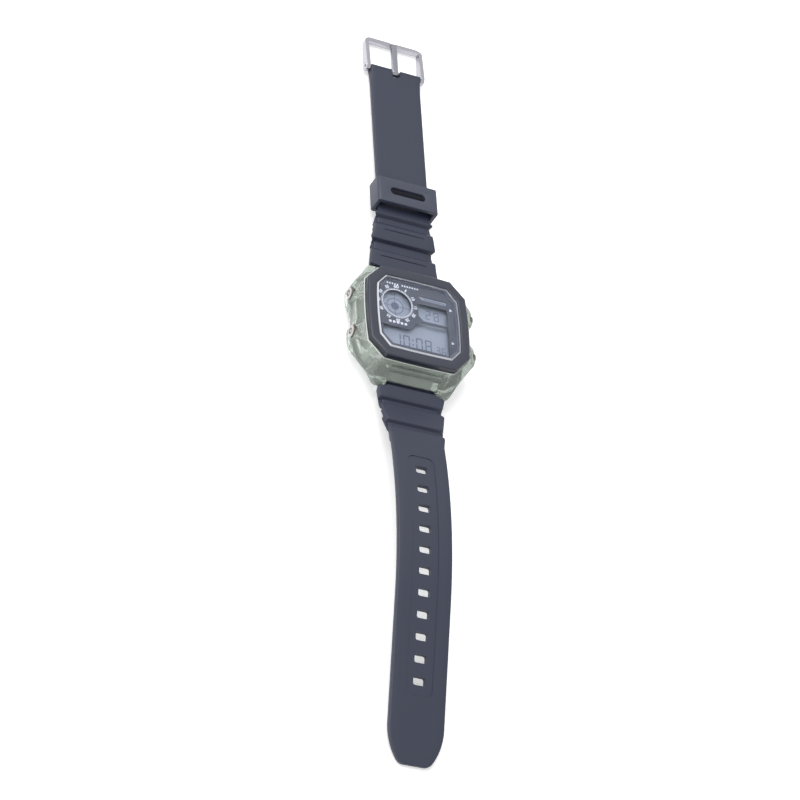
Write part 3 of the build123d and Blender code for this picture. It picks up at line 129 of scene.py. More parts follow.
class CaseSettings(bpy.types.PropertyGroup):
    resin: colour("Clear resin", "Tint of the clear case", (206, 217, 208))
    bezel: colour("Bezel", "Colour of the bezel", (44, 48, 61))
    # Darker copy of the bezel's colour: painted shade on the bezel's walls
    bezel_side_painted_shade: colour("Bezel side", "Colour of the bezel's walls", (34, 38, 51))
    softness: length("Edge softness", "Rounding of the case's edges", 0.3)
    bead: length("Bead", "Width of the bead round the bezel's foot", 0.36)
    # Pale: painted highlight of the case's ledge round the bezel
    bead_highlight_colour: colour("Bead highlight colour", "Colour of the bead round the bezel's foot", (205, 211, 207))


class DialSettings(bpy.types.PropertyGroup):
    mask: colour("Mask", "Colour of the printed mask", (82, 86, 98))
    print_white: colour("Print", "Colour of the print on the mask", (225, 228, 235))
    panel: colour("Panel", "Colour of the liquid crystal panel", (150, 158, 171))
    segment: colour("Segment", "Colour of the digits", (96, 104, 124))
    seal: colour("Seal", "Colour of the seal under the glass", (108, 112, 123))
    numeral_height: length("Numeral height", "Height of the numbers round the small dial", 1.05)


class MetalSettings(bpy.types.PropertyGroup):
    buckle: colour("Buckle steel", "Colour of the buckle", (172, 171, 178))
    polished: colour("Polished steel", "Colour of the buttons", (188, 184, 182))


class WatchSettings(bpy.types.PropertyGroup):
    stage: PointerProperty(name="Stage", description="Floor, lamps and sky", type=StageSettings)
    strap: PointerProperty(name="Strap", description="Both strap halves and the keeper", type=StrapSettings)
    case: PointerProperty(name="Case", description="Clear case and bezel", type=CaseSettings)
    dial: PointerProperty(name="Dial", description="Mask, prints and display", type=DialSettings)
    metal: PointerProperty(name="Metal", description="Buckle and buttons", type=MetalSettings)


def settings():
    """What the user has set for the watch."""
    return bpy.context.scene.watch


# Node trees and materials

def node(tree, kind, values=None, **traits):
    """Adds a node, sets its own traits and the values of its inputs."""
    made = tree.nodes.new(kind)
    for key, value in traits.items():
        setattr(made, key, value)
    for key, value in (values or {}).items():
        made.inputs[key].default_value = value
    return made


def only_node(tree, kind):
    """The node of a tree that has this type."""
    return next(item for item in tree.nodes if item.type == kind)


def chain(tree, *pairs):
    """Links outputs to inputs, each pair as (node, output, node, input)."""
    for giver, outlet, taker, inlet in pairs:
        tree.links.new(giver.outputs[outlet], taker.inputs[inlet])


FLOAT = "NodeSocketFloat"
WHOLE = "NodeSocketInt"
COLOUR = "NodeSocketColor"
VECTOR = "NodeSocketVector"
GEOMETRY = "NodeSocketGeometry"
MATERIAL = "NodeSocketMaterial"
OBJECT = "NodeSocketObject"


def new_tree(name, kind, inputs, outputs):
    """Empty node tree with its sockets, each given as (name, kind) or (name, kind, default)."""
    tree = bpy.data.node_groups.new(name, kind)
    for direction, sockets in (("INPUT", inputs), ("OUTPUT", outputs)):
        for label, socket, *default in sockets:
            made = tree.interface.new_socket(name=label, in_out=direction, socket_type=socket)
            if default:
                made.default_value = default[0]
    return tree, tree.nodes.new("NodeGroupInput"), tree.nodes.new("NodeGroupOutput")


def rgba(value):
    """Colour with full opacity."""
    return (*tuple(value)[:3], 1.0)


NOISE_MIDDLE = 0.5
BUMP_DEPTH = 0.02
EFFECT_OUTPUTS = [("Colour", COLOUR), ("Roughness", FLOAT), ("Height", FLOAT)]


def vary(tree, inlet, outlet, pattern, amount):
    """Swings a group's colour and roughness about their values as its noise swings about its middle."""
    centred = node(tree, "ShaderNodeMath", {1: NOISE_MIDDLE}, operation="SUBTRACT")
    swing = node(tree, "ShaderNodeMath", {2: 1.0}, operation="MULTIPLY_ADD")
    scaled = node(tree, "ShaderNodeVectorMath", operation="SCALE")
    rough = node(tree, "ShaderNodeMath", operation="MULTIPLY_ADD", use_clamp=True)
    chain(tree,
          (pattern, "Fac", centred, 0), (centred, 0, swing, 0), (inlet, amount, swing, 1),
          (inlet, "Colour", scaled, 0), (swing, 0, scaled, "Scale"), (scaled, 0, outlet, "Colour"),
          (centred, 0, rough, 0), (inlet, "Unevenness", rough, 1), (inlet, "Roughness", rough, 2),
          (rough, 0, outlet, "Roughness"))


def grain_group():
    """Moulded surface: mottled colour, uneven gloss and a fine pebbled height."""
    name = "Moulded grain"
    if name in bpy.data.node_groups:
        return bpy.data.node_groups[name]
    tree, inlet, outlet = new_tree(name, "ShaderNodeTree", [
        ("Colour", COLOUR, (0.5, 0.5, 0.5, 1)),
        ("Mottle", FLOAT, 0.06),
        ("Roughness", FLOAT, 0.5),
        ("Unevenness", FLOAT, 0.08),
        ("Mottle scale", FLOAT, 220.0),
        ("Grain scale", FLOAT, 5200.0),
    ], EFFECT_OUTPUTS)
    place = node(tree, "ShaderNodeTexCoord")
    broad = node(tree, "ShaderNodeTexNoise", {"Detail": 4.0, "Roughness": 0.6})
    fine = node(tree, "ShaderNodeTexNoise", {"Detail": 2.0, "Roughness": 0.55})
    chain(tree,
          (place, "Object", broad, "Vector"), (inlet, "Mottle scale", broad, "Scale"),
          (place, "Object", fine, "Vector"), (inlet, "Grain scale", fine, "Scale"),
          (fine, "Fac", outlet, "Height"))
    vary(tree, inlet, outlet, broad, "Mottle")
    return tree


def brushed_group():
    """Brushed metal: streaks along one axis in colour, gloss and height."""
    name = "Brushed streaks"
    if name in bpy.data.node_groups:
        return bpy.data.node_groups[name]
    tree, inlet, outlet = new_tree(name, "ShaderNodeTree", [
        ("Colour", COLOUR, (0.7, 0.7, 0.7, 1)),
        ("Streak", FLOAT, 0.15),
        ("Roughness", FLOAT, 0.3),
        ("Unevenness", FLOAT, 0.2),
        ("Along", VECTOR, (150.0, 5000.0, 5000.0)),
    ], EFFECT_OUTPUTS)
    place = node(tree, "ShaderNodeTexCoord")
    stretch = node(tree, "ShaderNodeVectorMath", operation="MULTIPLY")
    streak = node(tree, "ShaderNodeTexNoise", {"Scale": 1.0, "Detail": 3.0})
    chain(tree,
          (place, "Object", stretch, 0), (inlet, "Along", stretch, 1), (stretch, 0, streak, "Vector"),
          (streak, "Fac", outlet, "Height"))
    vary(tree, inlet, outlet, streak, "Streak")
    return tree


def finish(name, group, values, bump, **plain):
    """Material with one Principled BSDF whose colour, gloss and bump come from a shared group."""
    if name in bpy.data.materials:
        return bpy.data.materials[name]
    made = bpy.data.materials.new(name)
    made.use_nodes = True
    tree = made.node_tree
    shader = only_node(tree, "BSDF_PRINCIPLED")
    for key, value in plain.items():
        shader.inputs[key.replace("_", " ")].default_value = value
    effect = node(tree, "ShaderNodeGroup", values, node_tree=group)
    chain(tree, (effect, "Colour", shader, "Base Color"), (effect, "Roughness", shader, "Roughness"))
    if bump:
        relief = node(tree, "ShaderNodeBump", {"Strength": bump, "Distance": BUMP_DEPTH * MM})
        chain(tree, (effect, "Height", relief, "Height"), (relief, "Normal", shader, "Normal"))
    return made


def moulded(name, tint, roughness, mottle=0.08, uneven=0.1, bump=0.0, mottle_scale=220.0, **plain):
    """Moulded or printed surface."""
    values = {"Colour": rgba(tint), "Roughness": roughness, "Mottle": mottle, "Unevenness": uneven,
              "Mottle scale": mottle_scale}
    return finish(name, grain_group(), values, bump, **plain)


def brushed(name, tint, roughness, streak=0.2, uneven=0.25, bump=0.1, along=(150, 5000, 5000)):
    """Bare metal with streaks."""
    values = {"Colour": rgba(tint), "Roughness": roughness, "Streak": streak,
              "Unevenness": uneven, "Along": along}
    return finish(name, brushed_group(), values, bump, Metallic=1.0)


# Finishes of the pieces, each made once and then shared

def strap_rubber():
    return moulded("Strap rubber", settings().strap.rubber, 0.5, mottle=0.1, uneven=0.12, bump=0.25)


def keeper_rubber():
    return moulded("Keeper rubber", settings().strap.keeper_rubber, 0.5, mottle=0.1, uneven=0.12, bump=0.25)


def buckle_steel():
    return brushed("Buckle steel", settings().metal.buckle, 0.24, streak=0.05, uneven=0.12, bump=0.04)


def tongue_steel():
    return brushed("Tongue steel", srgb(150, 150, 158), 0.24, streak=0.08, uneven=0.15, bump=0.06)


def spring_steel():
    return brushed("Spring steel", srgb(190, 190, 194), 0.28)


def clear_resin():
    # The strong mottle paints bright and dark patches as streaks of light reflected inside the clear resin
    return moulded("Clear resin", settings().case.resin, 0.1, mottle=0.5, bump=0.06, mottle_scale=170,
                   Transmission_Weight=0.73, IOR=1.46)


def bezel_resin():
    return moulded("Bezel resin", settings().case.bezel, 0.38, mottle=0.06, bump=0.12)


def bezel_painted_shade_resin():
    # Darker copy of the bezel's resin: painted shade on the walls that face away from the light
    return moulded("Bezel side", settings().case.bezel_side_painted_shade, 0.34, mottle=0.06, bump=0.12)


def bead_painted_highlight():
    # Pale and glossy: painted highlight of the case's ledge at the bezel's foot
    return moulded("Polished bead", settings().case.bead_highlight_colour, 0.2)


def seal_rubber():
    return moulded("Glass seal", settings().dial.seal, 0.4, mottle=0.06, bump=0.1)


def clear_plastic():
    return moulded("Clear plastic", srgb(246, 248, 252), 0.03, mottle=0.01, uneven=0.02,
                   Transmission_Weight=1.0, IOR=1.2)


def glass_edge_painted_highlight():
    # Opaque and pale: painted highlight on the glass's bevel
    return moulded("Glass edge", srgb(206, 209, 216), 0.25, mottle=0.04, uneven=0.06)


def glass_side_painted_light():
    # Opaque and near white: painted light on the glass's sides
    return moulded("Glass side", srgb(236, 239, 246), 0.3, mottle=0.04, uneven=0.06)


def mask_print():
    return moulded("Mask print", settings().dial.mask, 0.45, mottle=0.05, bump=0.1)


def white_print():
    return moulded("White print", settings().dial.print_white, 0.5)


def panel_film():
    return moulded("Panel film", settings().dial.panel, 0.3, mottle=0.06, bump=0.05)


def segment_print():
    return moulded("Digit segments", settings().dial.segment, 0.4, mottle=0.1)


def node_finishes():
    """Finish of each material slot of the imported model."""
    return {
        "clear_green_resin": clear_resin(),
        "dark_resin": bezel_resin(),
        "clear_plastic": clear_plastic(),
        "black_rubber": moulded("Gasket rubber", srgb(38, 39, 42), 0.6, mottle=0.1, bump=0.2),
        "face_print": mask_print(),
        "white_print": white_print(),
        "lcd_glass": moulded("Panel glass", srgb(176, 184, 190), 0.12, mottle=0.03, uneven=0.05),
        "polariser": panel_film(),
        "segment_black": segment_print(),
        "lamp_white": moulded("Lamp body", srgb(240, 236, 220), 0.35, mottle=0.05),
        "white_plastic": moulded("White plastic", srgb(226, 228, 222), 0.5, mottle=0.06, bump=0.1),
        "board_green": moulded("Board lacquer", srgb(54, 96, 66), 0.4, mottle=0.18, uneven=0.15, bump=0.2),
        "chip_black": moulded("Chip epoxy", srgb(36, 36, 39), 0.55, mottle=0.12, uneven=0.15, bump=0.3),
        "nickel": brushed("Nickel can", srgb(206, 202, 194), 0.3),
        "chip_brown": moulded("Chip part", srgb(140, 112, 84), 0.5, mottle=0.15, bump=0.1),
        "contact_brass": brushed("Brass contact", srgb(208, 182, 118), 0.3),
        "insulator_film": moulded("Insulator film", srgb(196, 158, 92), 0.3, mottle=0.06),
        "spring_steel": spring_steel(),
        "brushed_steel": brushed("Brushed steel", srgb(186, 186, 190), 0.34, streak=0.3, uneven=0.3),
        "screw_steel": brushed("Screw steel", srgb(172, 172, 178), 0.3),
        "button_steel": brushed("Polished steel", settings().metal.polished, 0.16, streak=0.08, uneven=0.1,
                                bump=0.04),
        "strap_resin": strap_rubber(),
        "buckle_steel": buckle_steel(),
        "pin_steel": brushed("Pin steel", srgb(184, 184, 188), 0.26),
    }


def build_node_finishes():
    """Gives every CAD node its material."""
    finishes = node_finishes()
    for item in frame["record"]["subparts"]:
        data = NODES[item["node"]].data
        data.materials.clear()
        data.materials.append(finishes[item["material_slot"]])
        data.polygons.foreach_set("material_index", [0] * len(data.polygons))


# Mesh tools

MERGE_DISTANCE = 1e-7
CAD_MERGE_DISTANCE = 2e-6
FLAT_ANGLE = 1.0            # faces that meet at less are one flat face
EDGE_CREASE = 30
EDGE_ANGLE = 30             # edges sharper than this are rounded
CASE_EDGE_ANGLE = 28
ARC_STEP = 15
ROD_SIDES = 32
OVERRUN = 1.0               # how far a cutter runs past what it cuts
HOLE_CORNER_POINTS = 4
HOLE_MERGE_DISTANCE = 1e-6


def linked(name, data):
    """New object of the scene, at the origin."""
    made = bpy.data.objects.new(name, data)
    bpy.context.scene.collection.objects.link(made)
    return made


def piece(name, mesh, body, material, replaced=()):
    """Object at the origin for a finished mesh; rides on its body."""
    made = linked(name, mesh)
    mesh.materials.clear()
    mesh.materials.append(material)
    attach(made, body)
    if replaced:
        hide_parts(*replaced)
    return made


def mesh_from(work, name):
    """New mesh from a worked one, which is freed."""
    mesh = bpy.data.meshes.new(name)
    work.to_mesh(mesh)
    work.free()
    return mesh


def soft_shading(mesh, angle):
    """Smooth faces, with creases sharper than the angle kept."""
    mesh.polygons.foreach_set("use_smooth", [True] * len(mesh.polygons))
    work = bmesh.new()
    work.from_mesh(mesh)
    for edge in work.edges:
        edge.smooth = len(edge.link_faces) == 2 and edge.calc_face_angle(0) < radians(angle)
    work.to_mesh(mesh)
    work.free()


def outward(mesh):
    """Merges doubled points and turns every face outwards."""
    work = bmesh.new()
    work.from_mesh(mesh)
    bmesh.ops.remove_doubles(work, verts=work.verts, dist=MERGE_DISTANCE)
    bmesh.ops.recalc_face_normals(work, faces=work.faces)
    work.to_mesh(mesh)
    work.free()


def evaluated(holder, name):
    """Plain mesh of an object with its modifiers; the holder is then removed."""
    bpy.context.view_layer.update()
    graph = bpy.context.evaluated_depsgraph_get()
    mesh = bpy.data.meshes.new_from_object(holder.evaluated_get(graph), depsgraph=graph)
    mesh.name = name
    holder.modifiers.clear()
    bpy.data.objects.remove(holder)
    return mesh


def softened_copy(node_name, width, angle=EDGE_ANGLE, segments=3):
    """Copy of a CAD node's mesh with merged points, flat faces joined and edges rounded."""
    mesh = NODES[node_name].data.copy()
    work = bmesh.new()
    work.from_mesh(mesh)
    bmesh.ops.remove_doubles(work, verts=work.verts, dist=CAD_MERGE_DISTANCE)
    bmesh.ops.dissolve_limit(work, angle_limit=radians(FLAT_ANGLE), use_dissolve_boundaries=False,
                             verts=work.verts, edges=work.edges)
    work.to_mesh(mesh)
    work.free()
    holder = linked(node_name + "_work", mesh)
    bevel = holder.modifiers.new("Bevel", "BEVEL")
    bevel.width = width
    bevel.segments = segments
    bevel.limit_method = "ANGLE"
    bevel.angle_limit = radians(angle)
    made = evaluated(holder, node_name + "_soft")
    soft_shading(made, EDGE_CREASE)
    return made


# Strap: lengths in mm, angles in degrees

PIN_MIDDLE = (lowest("lug_pin_upper_tube") + highest("lug_pin_upper_tube")) / 2
PIN_Y = PIN_MIDDLE.y
PIN_Z = PIN_MIDDLE.z
PIN_BORE = 0.8
KNUCKLE = 1.45
NECK_HALF_WIDTH = 8.55
NECK_TOP = 0.575
NECK_RISE_START = 2.2
RIB_START = 3.5
GROOVE_DEPTH = 1.25
RIB_DROP = 0.45
RIB_CORNER = 1.1
FIRST_CORNER_SHARE = 1 / 3  # of a rib's corner, at the rib next to the case
RIB_LEAN = 3.6              # how far the foot of a rib's side lies beyond its top
RIB_GAP = 0.9               # how much wider the gap between two feet is than the groove
SIDE_NOTCH = 1.5            # how deep a groove cuts in from the side
LAST_NOTCH_SHARE = 0.6      # of that depth, at the rib next to the plain strap
NOTCH_WALL = 0.05           # from a rib's side to the start of its notch
NOTCH_FLOOR = 0.1           # from there to the notch's full depth
LAST_RIB_LENGTH = 0.5
SIDE_RUNOUT = 0.3           # from the last rib's side to the plain strap
FOOT_RISE = 0.3             # slopes at the near and far end of a rib's foot
FOOT_FALL = 0.6
SIDE_ROUNDING = (0.4, 0.3)  # widths of the two means that round a profile's corners
HEIGHT_ROUNDING = (0.35, 0.25)
LINE_WIDTH = 0.3
LINE_DEPTH = 0.24
LINE_SHARPNESS = 1.2        # how steep a fine line's walls are
LINE_ZONE = 1.5             # around a fine line, where its reach across the strap holds
PLAIN_RECESS = 5.0
PROFILE_STEP = 0.05
STEP_GAP = 0.02             # a profile keeps its value until this far from a sharp step
EDGE_SHARE = 0.45           # an edge's rounding takes at most this share of the thickness
EDGE_GAP = 0.2              # flat left between a recess and an edge's rounding
RECESS_WALL = 0.06          # half the width of a recess's sloping wall
EDGE_POINTS = 5
FOOT_POINTS = 4
SIDE_SHARES = (0.25, 0.5, 0.75)
SOLE_SHARES = (0.66, 0.33)

# Spacing of the rows of points along the strap
FINE_ROW = 0.15
PLAIN_ROW = 1.2
LINE_ROW = 0.05
ROW_BEFORE = 0.4            # how far rows run on before and after a rib's end
ROW_AFTER = 1.1
ROW_LEAST = 0.03
END_GAP = 0.02


def bend(radius, turn):
    """Length and turn of a bend in a half's middle line."""
    return radius * radians(abs(turn)), turn


# Each half: moves of its middle line (length, turn), its ribs, the grooves between them, slant of the
# groove walls, place and height of the crest, tuck of the rib feet, half widths at the ribs' ends,
# fine lines (place, reach) and its side of the watch
TIP_HALF = {
    "moves": [(3.5, 0), bend(45, 11.5), (2.0, 0), bend(141, -25.5), (50.8, 0)],
    "ribs": (4.3, 7.75, 5.85),
    "grooves": (1.65, 1.65),
    "slant": 0.6,
    "crest": ((2.85, 1.7), (6.2, 0.9)),
    "tuck": 0.4,
    "widths": (11.6, 11.15, 9.9, 9.1),
    "lines": (),
    "side": -1,
}
BUCKLE_HALF = {
    "moves": [(3.5, 0), bend(25, 14), (5.5, 0), bend(50, -14), (56.6, 0)],
    "ribs": (7.1, 7.0, 2.9),
    "grooves": (2.5, 1.9),
    "slant": 0.9,
    "crest": ((3.2, 1.9), (9.6, 1.5)),
    "tuck": 0.8,
    "widths": (12.1, 11.5, 10.4, 9.3),
    "lines": ((7.8, 8.1), (17.6, 7.1)),
    "side": 1,
}


def strap_state(half, distance):
    """Place and heading of a half's middle line at a length from its pin, in mm."""
    y, z, heading = PIN_Y, PIN_Z, 0.0
    if distance <= 0:
        return y + distance, z, heading
    for run, turn in half["moves"]:
        step = min(run, distance)
        if turn == 0:
            y += step * cos(heading)
            z += step * sin(heading)
        else:
            bend = radians(turn) * step / run
            radius = run / radians(turn)
            y += radius * (sin(heading + bend) - sin(heading))
            z += radius * (cos(heading) - cos(heading + bend))
            heading += bend
        distance -= step
        if distance <= 0:
            break
    return y, z, heading


def strap_length(half):
    """Length of a half's middle line from its pin."""
    return sum(run for run, _ in half["moves"])


def on_strap(half, distance, x, lift):
    """Point in metres, given its length from the pin, its x and its lift off the middle line."""
    y, z, heading = strap_state(half, distance)
    return Vector((x, half["side"] * (y - lift * sin(heading)), z + lift * cos(heading))) * MM


def rib_spans(half):
    """Where each rib starts and ends at its top, as lengths from the pin."""
    spans = []
    start = RIB_START
    for run, groove in zip(half["ribs"], half["grooves"] + (0,)):
        spans.append((start, start + run))
        start += run + groove
    return spans


def blurred(values, width):
    """Running mean, which rounds the corners of a profile."""
    reach = max(1, int(round(width / PROFILE_STEP))) // 2
    kernel = np.ones(2 * reach + 1) / (2 * reach + 1)
    return np.convolve(np.pad(values, reach, mode="edge"), kernel, mode="valid")


def profile(points, places, rounding):
    """Piecewise straight profile through (place, value) points, its corners rounded by means."""
    values = np.interp(places, [place for place, _ in points], [value for _, value in points])
    for width in rounding:
        values = blurred(values, width)
    return values


def side_points(half, plain, lean, tuck):
    """Half width along the strap at one depth of its side; the ribs lean outwards going down."""
    widths = half["widths"]
    spans = rib_spans(half)
    spread = RIB_GAP * lean / RIB_LEAN
    points = [(RIB_START - STEP_GAP, NECK_HALF_WIDTH)]
    for index, (start, far) in enumerate(spans):
        last = index == len(spans) - 1
        begin = start + (lean + spread if index else 0)
        end = far + (0 if last else lean)
        near_w, far_w = widths[index] - tuck, widths[index + 1] - (0 if last else tuck)
        if last and lean:
            points += [(begin, near_w - SIDE_NOTCH * LAST_NOTCH_SHARE),
                       (max(end, begin + LAST_RIB_LENGTH), plain)]
            continue
        corner = RIB_CORNER * (1 if index else FIRST_CORNER_SHARE)
        points += [(begin, near_w - corner), (begin + corner, near_w), (end - RIB_CORNER, far_w)]
        if last:
            points += [(end, max(plain, far_w - RIB_CORNER)), (end + SIDE_RUNOUT, plain)]
        else:
            gap = half["grooves"][index] + spread
            notch = far_w - SIDE_NOTCH * (LAST_NOTCH_SHARE if index == len(spans) - 2 and lean else 1)
            points += [(end - NOTCH_WALL, far_w - RIB_CORNER / 2), (end + NOTCH_FLOOR, notch),
                       (end + gap - NOTCH_FLOOR, notch)]
    return points


def strap_profiles(half, rubber):
    """Half widths at three depths, heights and recess of the strap at fine steps along it."""
    places = np.arange(-KNUCKLE, strap_length(half) + PROFILE_STEP / 2, PROFILE_STEP)
    thick = rubber.half_thickness / MM
    plain = rubber.half_width / MM
    spans = rib_spans(half)
    top = [(NECK_RISE_START, NECK_TOP), *half["crest"]]
    slant, crest_end = half["slant"], half["crest"][-1][1]
    foot = [(RIB_START - STEP_GAP, -thick)]
    for index, (start, far) in enumerate(spans):
        last = index == len(spans) - 1
        lean = 0 if last else RIB_LEAN
        if index:
            top += [(start, thick - GROOVE_DEPTH), (start + slant, thick)]
        level = thick if index else crest_end
        top += [(far, thick)] if last else [(far - slant, level), (far, thick - GROOVE_DEPTH)]
        begin = start + (RIB_LEAN if index and not last else slant)
        foot += [(begin, -thick), (begin + FOOT_RISE, -thick - RIB_DROP),
                 (far + lean - FOOT_FALL, -thick - RIB_DROP), (far + lean, -thick)]
    made = {"places": places, "top": profile(top, places, HEIGHT_ROUNDING),
            "foot": profile(foot, places, HEIGHT_ROUNDING)}
    for key, depth_share in (("upper", 0), ("middle", 0.5), ("lower", 1)):
        side = side_points(half, plain, RIB_LEAN * depth_share, half["tuck"] * depth_share)
        widths = profile(side, places, SIDE_ROUNDING)
        made[key] = np.where(places > RIB_START + RIB_CORNER, np.maximum(widths, plain), widths)
    # the knuckle round the lug pin
    reach = np.clip(KNUCKLE ** 2 - places ** 2, 0, None) ** 0.5
    inside = places < KNUCKLE
    made["top"] = np.where(inside, np.maximum(reach, np.where(places < 0, 0, NECK_TOP)), made["top"])
    made["foot"] = np.where(inside, -np.maximum(reach, np.where(places < 0, 0, thick)), made["foot"])
    # engraved lines
    depth = np.zeros(places.size)
    recess = np.full(places.size, PLAIN_RECESS)
    for place, reach in half["lines"]:
        near = np.abs(places - place)
        depth += LINE_DEPTH * np.clip(LINE_SHARPNESS - near / (LINE_WIDTH / 2), 0, 1)
        recess[near < LINE_ZONE] = reach
    made["depth"] = depth
    made["recess"] = recess
    return made


def strap_stations(half, extra=()):
    """Lengths from the pin at which the strap has a row of points."""
    end = strap_length(half)
    rows = list(np.arange(-KNUCKLE + LINE_ROW, RIB_START, FINE_ROW))
    for start, far in rib_spans(half):
        for lean in (0, RIB_LEAN / 2, RIB_LEAN):
            rows += list(np.arange(start + lean - ROW_BEFORE, start + lean + ROW_AFTER, FINE_ROW))
            rows += list(np.arange(far + lean - ROW_AFTER, far + lean + ROW_BEFORE, FINE_ROW))
    for place, _ in half["lines"]:
        rows += list(np.arange(place - LINE_WIDTH, place + LINE_WIDTH + LINE_ROW / 2, LINE_ROW))
    rows += list(np.arange(RIB_START, end, PLAIN_ROW)) + list(extra)
    rows = sorted(set(round(row, 3) for row in rows))
    kept = [rows[0]]
    for row in rows[1:]:
        if row - kept[-1] > ROW_LEAST:
            kept.append(row)
    return [row for row in kept if row < end - END_GAP] + [end]


def strap_section(shape):
    """Right half outline of the strap's section from the top's middle to the bottom's middle."""
    upper, middle, lower, top, foot, recess, depth, soft = shape
    inner = min(recess, upper - soft - EDGE_GAP)
    points = [(0.0, top - depth), (inner / 2, top - depth), (inner - RECESS_WALL, top - depth),
              (inner + RECESS_WALL, top), ((inner + upper - soft) / 2, top)]
    turn = min(soft, (top - foot) * EDGE_SHARE)
    for angle in np.linspace(0, pi / 2, EDGE_POINTS + 1):
        points.append((upper - turn + turn * sin(angle), top - turn + turn * cos(angle)))
    height = top - foot - 2 * turn
    for part in SIDE_SHARES:
        across = float(np.interp(part, (0, 0.5, 1), (upper, middle, lower)))
        points.append((across, top - turn - height * part))
    for angle in np.linspace(0, pi / 2, FOOT_POINTS + 1):
        points.append((lower - turn + turn * cos(angle), foot + turn - turn * sin(angle)))
    points += [((lower - turn) * part, foot) for part in SOLE_SHARES]
    points.append((0.0, foot))
    return points


def swept_strap(half, rubber, rows, shaping):
    """Closed mesh of a strap half through its sections, each changed by a shaping function."""
    made = strap_profiles(half, rubber)
    keys = ("upper", "middle", "lower", "top", "foot", "recess", "depth")
    soft = rubber.edge_round / MM
    work = bmesh.new()
    rings = []
    for row in rows:
        shape = [float(np.interp(row, made["places"], made[key])) for key in keys]
        top, foot = shape[keys.index("top")], shape[keys.index("foot")]
        shape = shaping(row, shape + [min(soft, EDGE_SHARE * (top - foot))])
        right = strap_section(shape)
        loop = right + [(-x, lift) for x, lift in reversed(right[1:-1])]
        rings.append([work.verts.new(on_strap(half, row, x, lift)) for x, lift in loop])
    for near, far in zip(rings, rings[1:]):
        for index in range(len(near)):
            after = (index + 1) % len(near)
            work.faces.new((near[index], near[after], far[after], far[index]))
    work.faces.new(rings[0])
    work.faces.new(list(reversed(rings[-1])))
    bmesh.ops.remove_doubles(work, verts=work.verts, dist=MERGE_DISTANCE)
    bmesh.ops.recalc_face_normals(work, faces=work.faces)
    return mesh_from(work, "strap")


def add_modifier(holder, tree, values):
    """Adds a tree to an object with its named inputs set."""
    made = holder.modifiers.new(tree.name, "NODES")
    made.node_group = tree
    identifiers = {item.name: item.identifier for item in tree.interface.items_tree
                   if item.in_out == "INPUT"}
    for label, value in values.items():
        made[identifiers[label]] = value


def hole_row_tree():
    """Cuts a row of round-cornered holes square to a strap, along a path."""
    tree, inlet, outlet = new_tree("Row of strap holes", "GeometryNodeTree", [
        ("Geometry", GEOMETRY), ("Path", OBJECT), ("Count", WHOLE), ("First hole", FLOAT), ("Pitch", FLOAT),
        ("Hole width", FLOAT), ("Hole length", FLOAT), ("Corner", FLOAT), ("Depth", FLOAT),
        ("Material", MATERIAL),
    ], [("Geometry", GEOMETRY)])
    path = node(tree, "GeometryNodeObjectInfo")
    row = node(tree, "GeometryNodeMeshLine")
    index = node(tree, "GeometryNodeInputIndex")
    reach = node(tree, "ShaderNodeMath", operation="MULTIPLY_ADD")
    sample = node(tree, "GeometryNodeSampleCurve", mode="LENGTH", use_all_curves=True)
    placed = node(tree, "GeometryNodeSetPosition")
    turned = node(tree, "FunctionNodeAlignRotationToVector", axis="Y", pivot_axis="X")
    outline = node(tree, "GeometryNodeCurvePrimitiveQuadrilateral")
    rounded = node(tree, "GeometryNodeFilletCurve", {"Count": HOLE_CORNER_POINTS}, mode="POLY")
    filled = node(tree, "GeometryNodeFillCurve", mode="NGONS")
    raised = node(tree, "GeometryNodeExtrudeMesh", {"Individual": False})
    flipped = node(tree, "GeometryNodeFlipFaces")
    closed = node(tree, "GeometryNodeJoinGeometry")
    merged = node(tree, "GeometryNodeMergeByDistance", {"Distance": HOLE_MERGE_DISTANCE})
    half_depth = node(tree, "ShaderNodeMath", {1: -0.5}, operation="MULTIPLY")
    lowered = node(tree, "ShaderNodeCombineXYZ")
    centred = node(tree, "GeometryNodeSetPosition")
    spread = node(tree, "GeometryNodeInstanceOnPoints")
    cutters = node(tree, "GeometryNodeRealizeInstances")
    cut = node(tree, "GeometryNodeMeshBoolean", operation="DIFFERENCE", solver="EXACT")
    whole = node(tree, "GeometryNodeRealizeInstances")
    painted = node(tree, "GeometryNodeSetMaterial")
    chain(tree,
          (inlet, "Path", path, "Object"), (inlet, "Count", row, "Count"),
          (index, 0, reach, 0), (inlet, "Pitch", reach, 1), (inlet, "First hole", reach, 2),
          (path, "Geometry", sample, "Curves"), (reach, 0, sample, "Length"),
          (row, "Mesh", placed, "Geometry"), (sample, "Position", placed, "Position"),
          (sample, "Tangent", turned, "Vector"),
          (inlet, "Hole width", outline, "Width"), (inlet, "Hole length", outline, "Height"),
          (outline, "Curve", rounded, "Curve"), (inlet, "Corner", rounded, "Radius"),
          (rounded, "Curve", filled, "Curve"), (filled, "Mesh", raised, "Mesh"),
          (inlet, "Depth", raised, "Offset Scale"), (filled, "Mesh", flipped, "Mesh"),
          (raised, "Mesh", closed, "Geometry"), (flipped, "Mesh", closed, "Geometry"),
          (closed, "Geometry", merged, "Geometry"), (inlet, "Depth", half_depth, 0),
          (half_depth, 0, lowered, "Z"), (merged, "Geometry", centred, "Geometry"),
          (lowered, 0, centred, "Offset"), (placed, "Geometry", spread, "Points"),
          (centred, "Geometry", spread, "Instance"), (turned, "Rotation", spread, "Rotation"),
          (spread, "Instances", cutters, "Geometry"), (inlet, "Geometry", cut, "Mesh 1"),
          (cutters, "Geometry", cut, "Mesh 2"), (cut, "Mesh", whole, "Geometry"),
          (whole, "Geometry", painted, "Geometry"), (inlet, "Material", painted, "Material"),
          (painted, "Geometry", outlet, "Geometry"))
    return tree


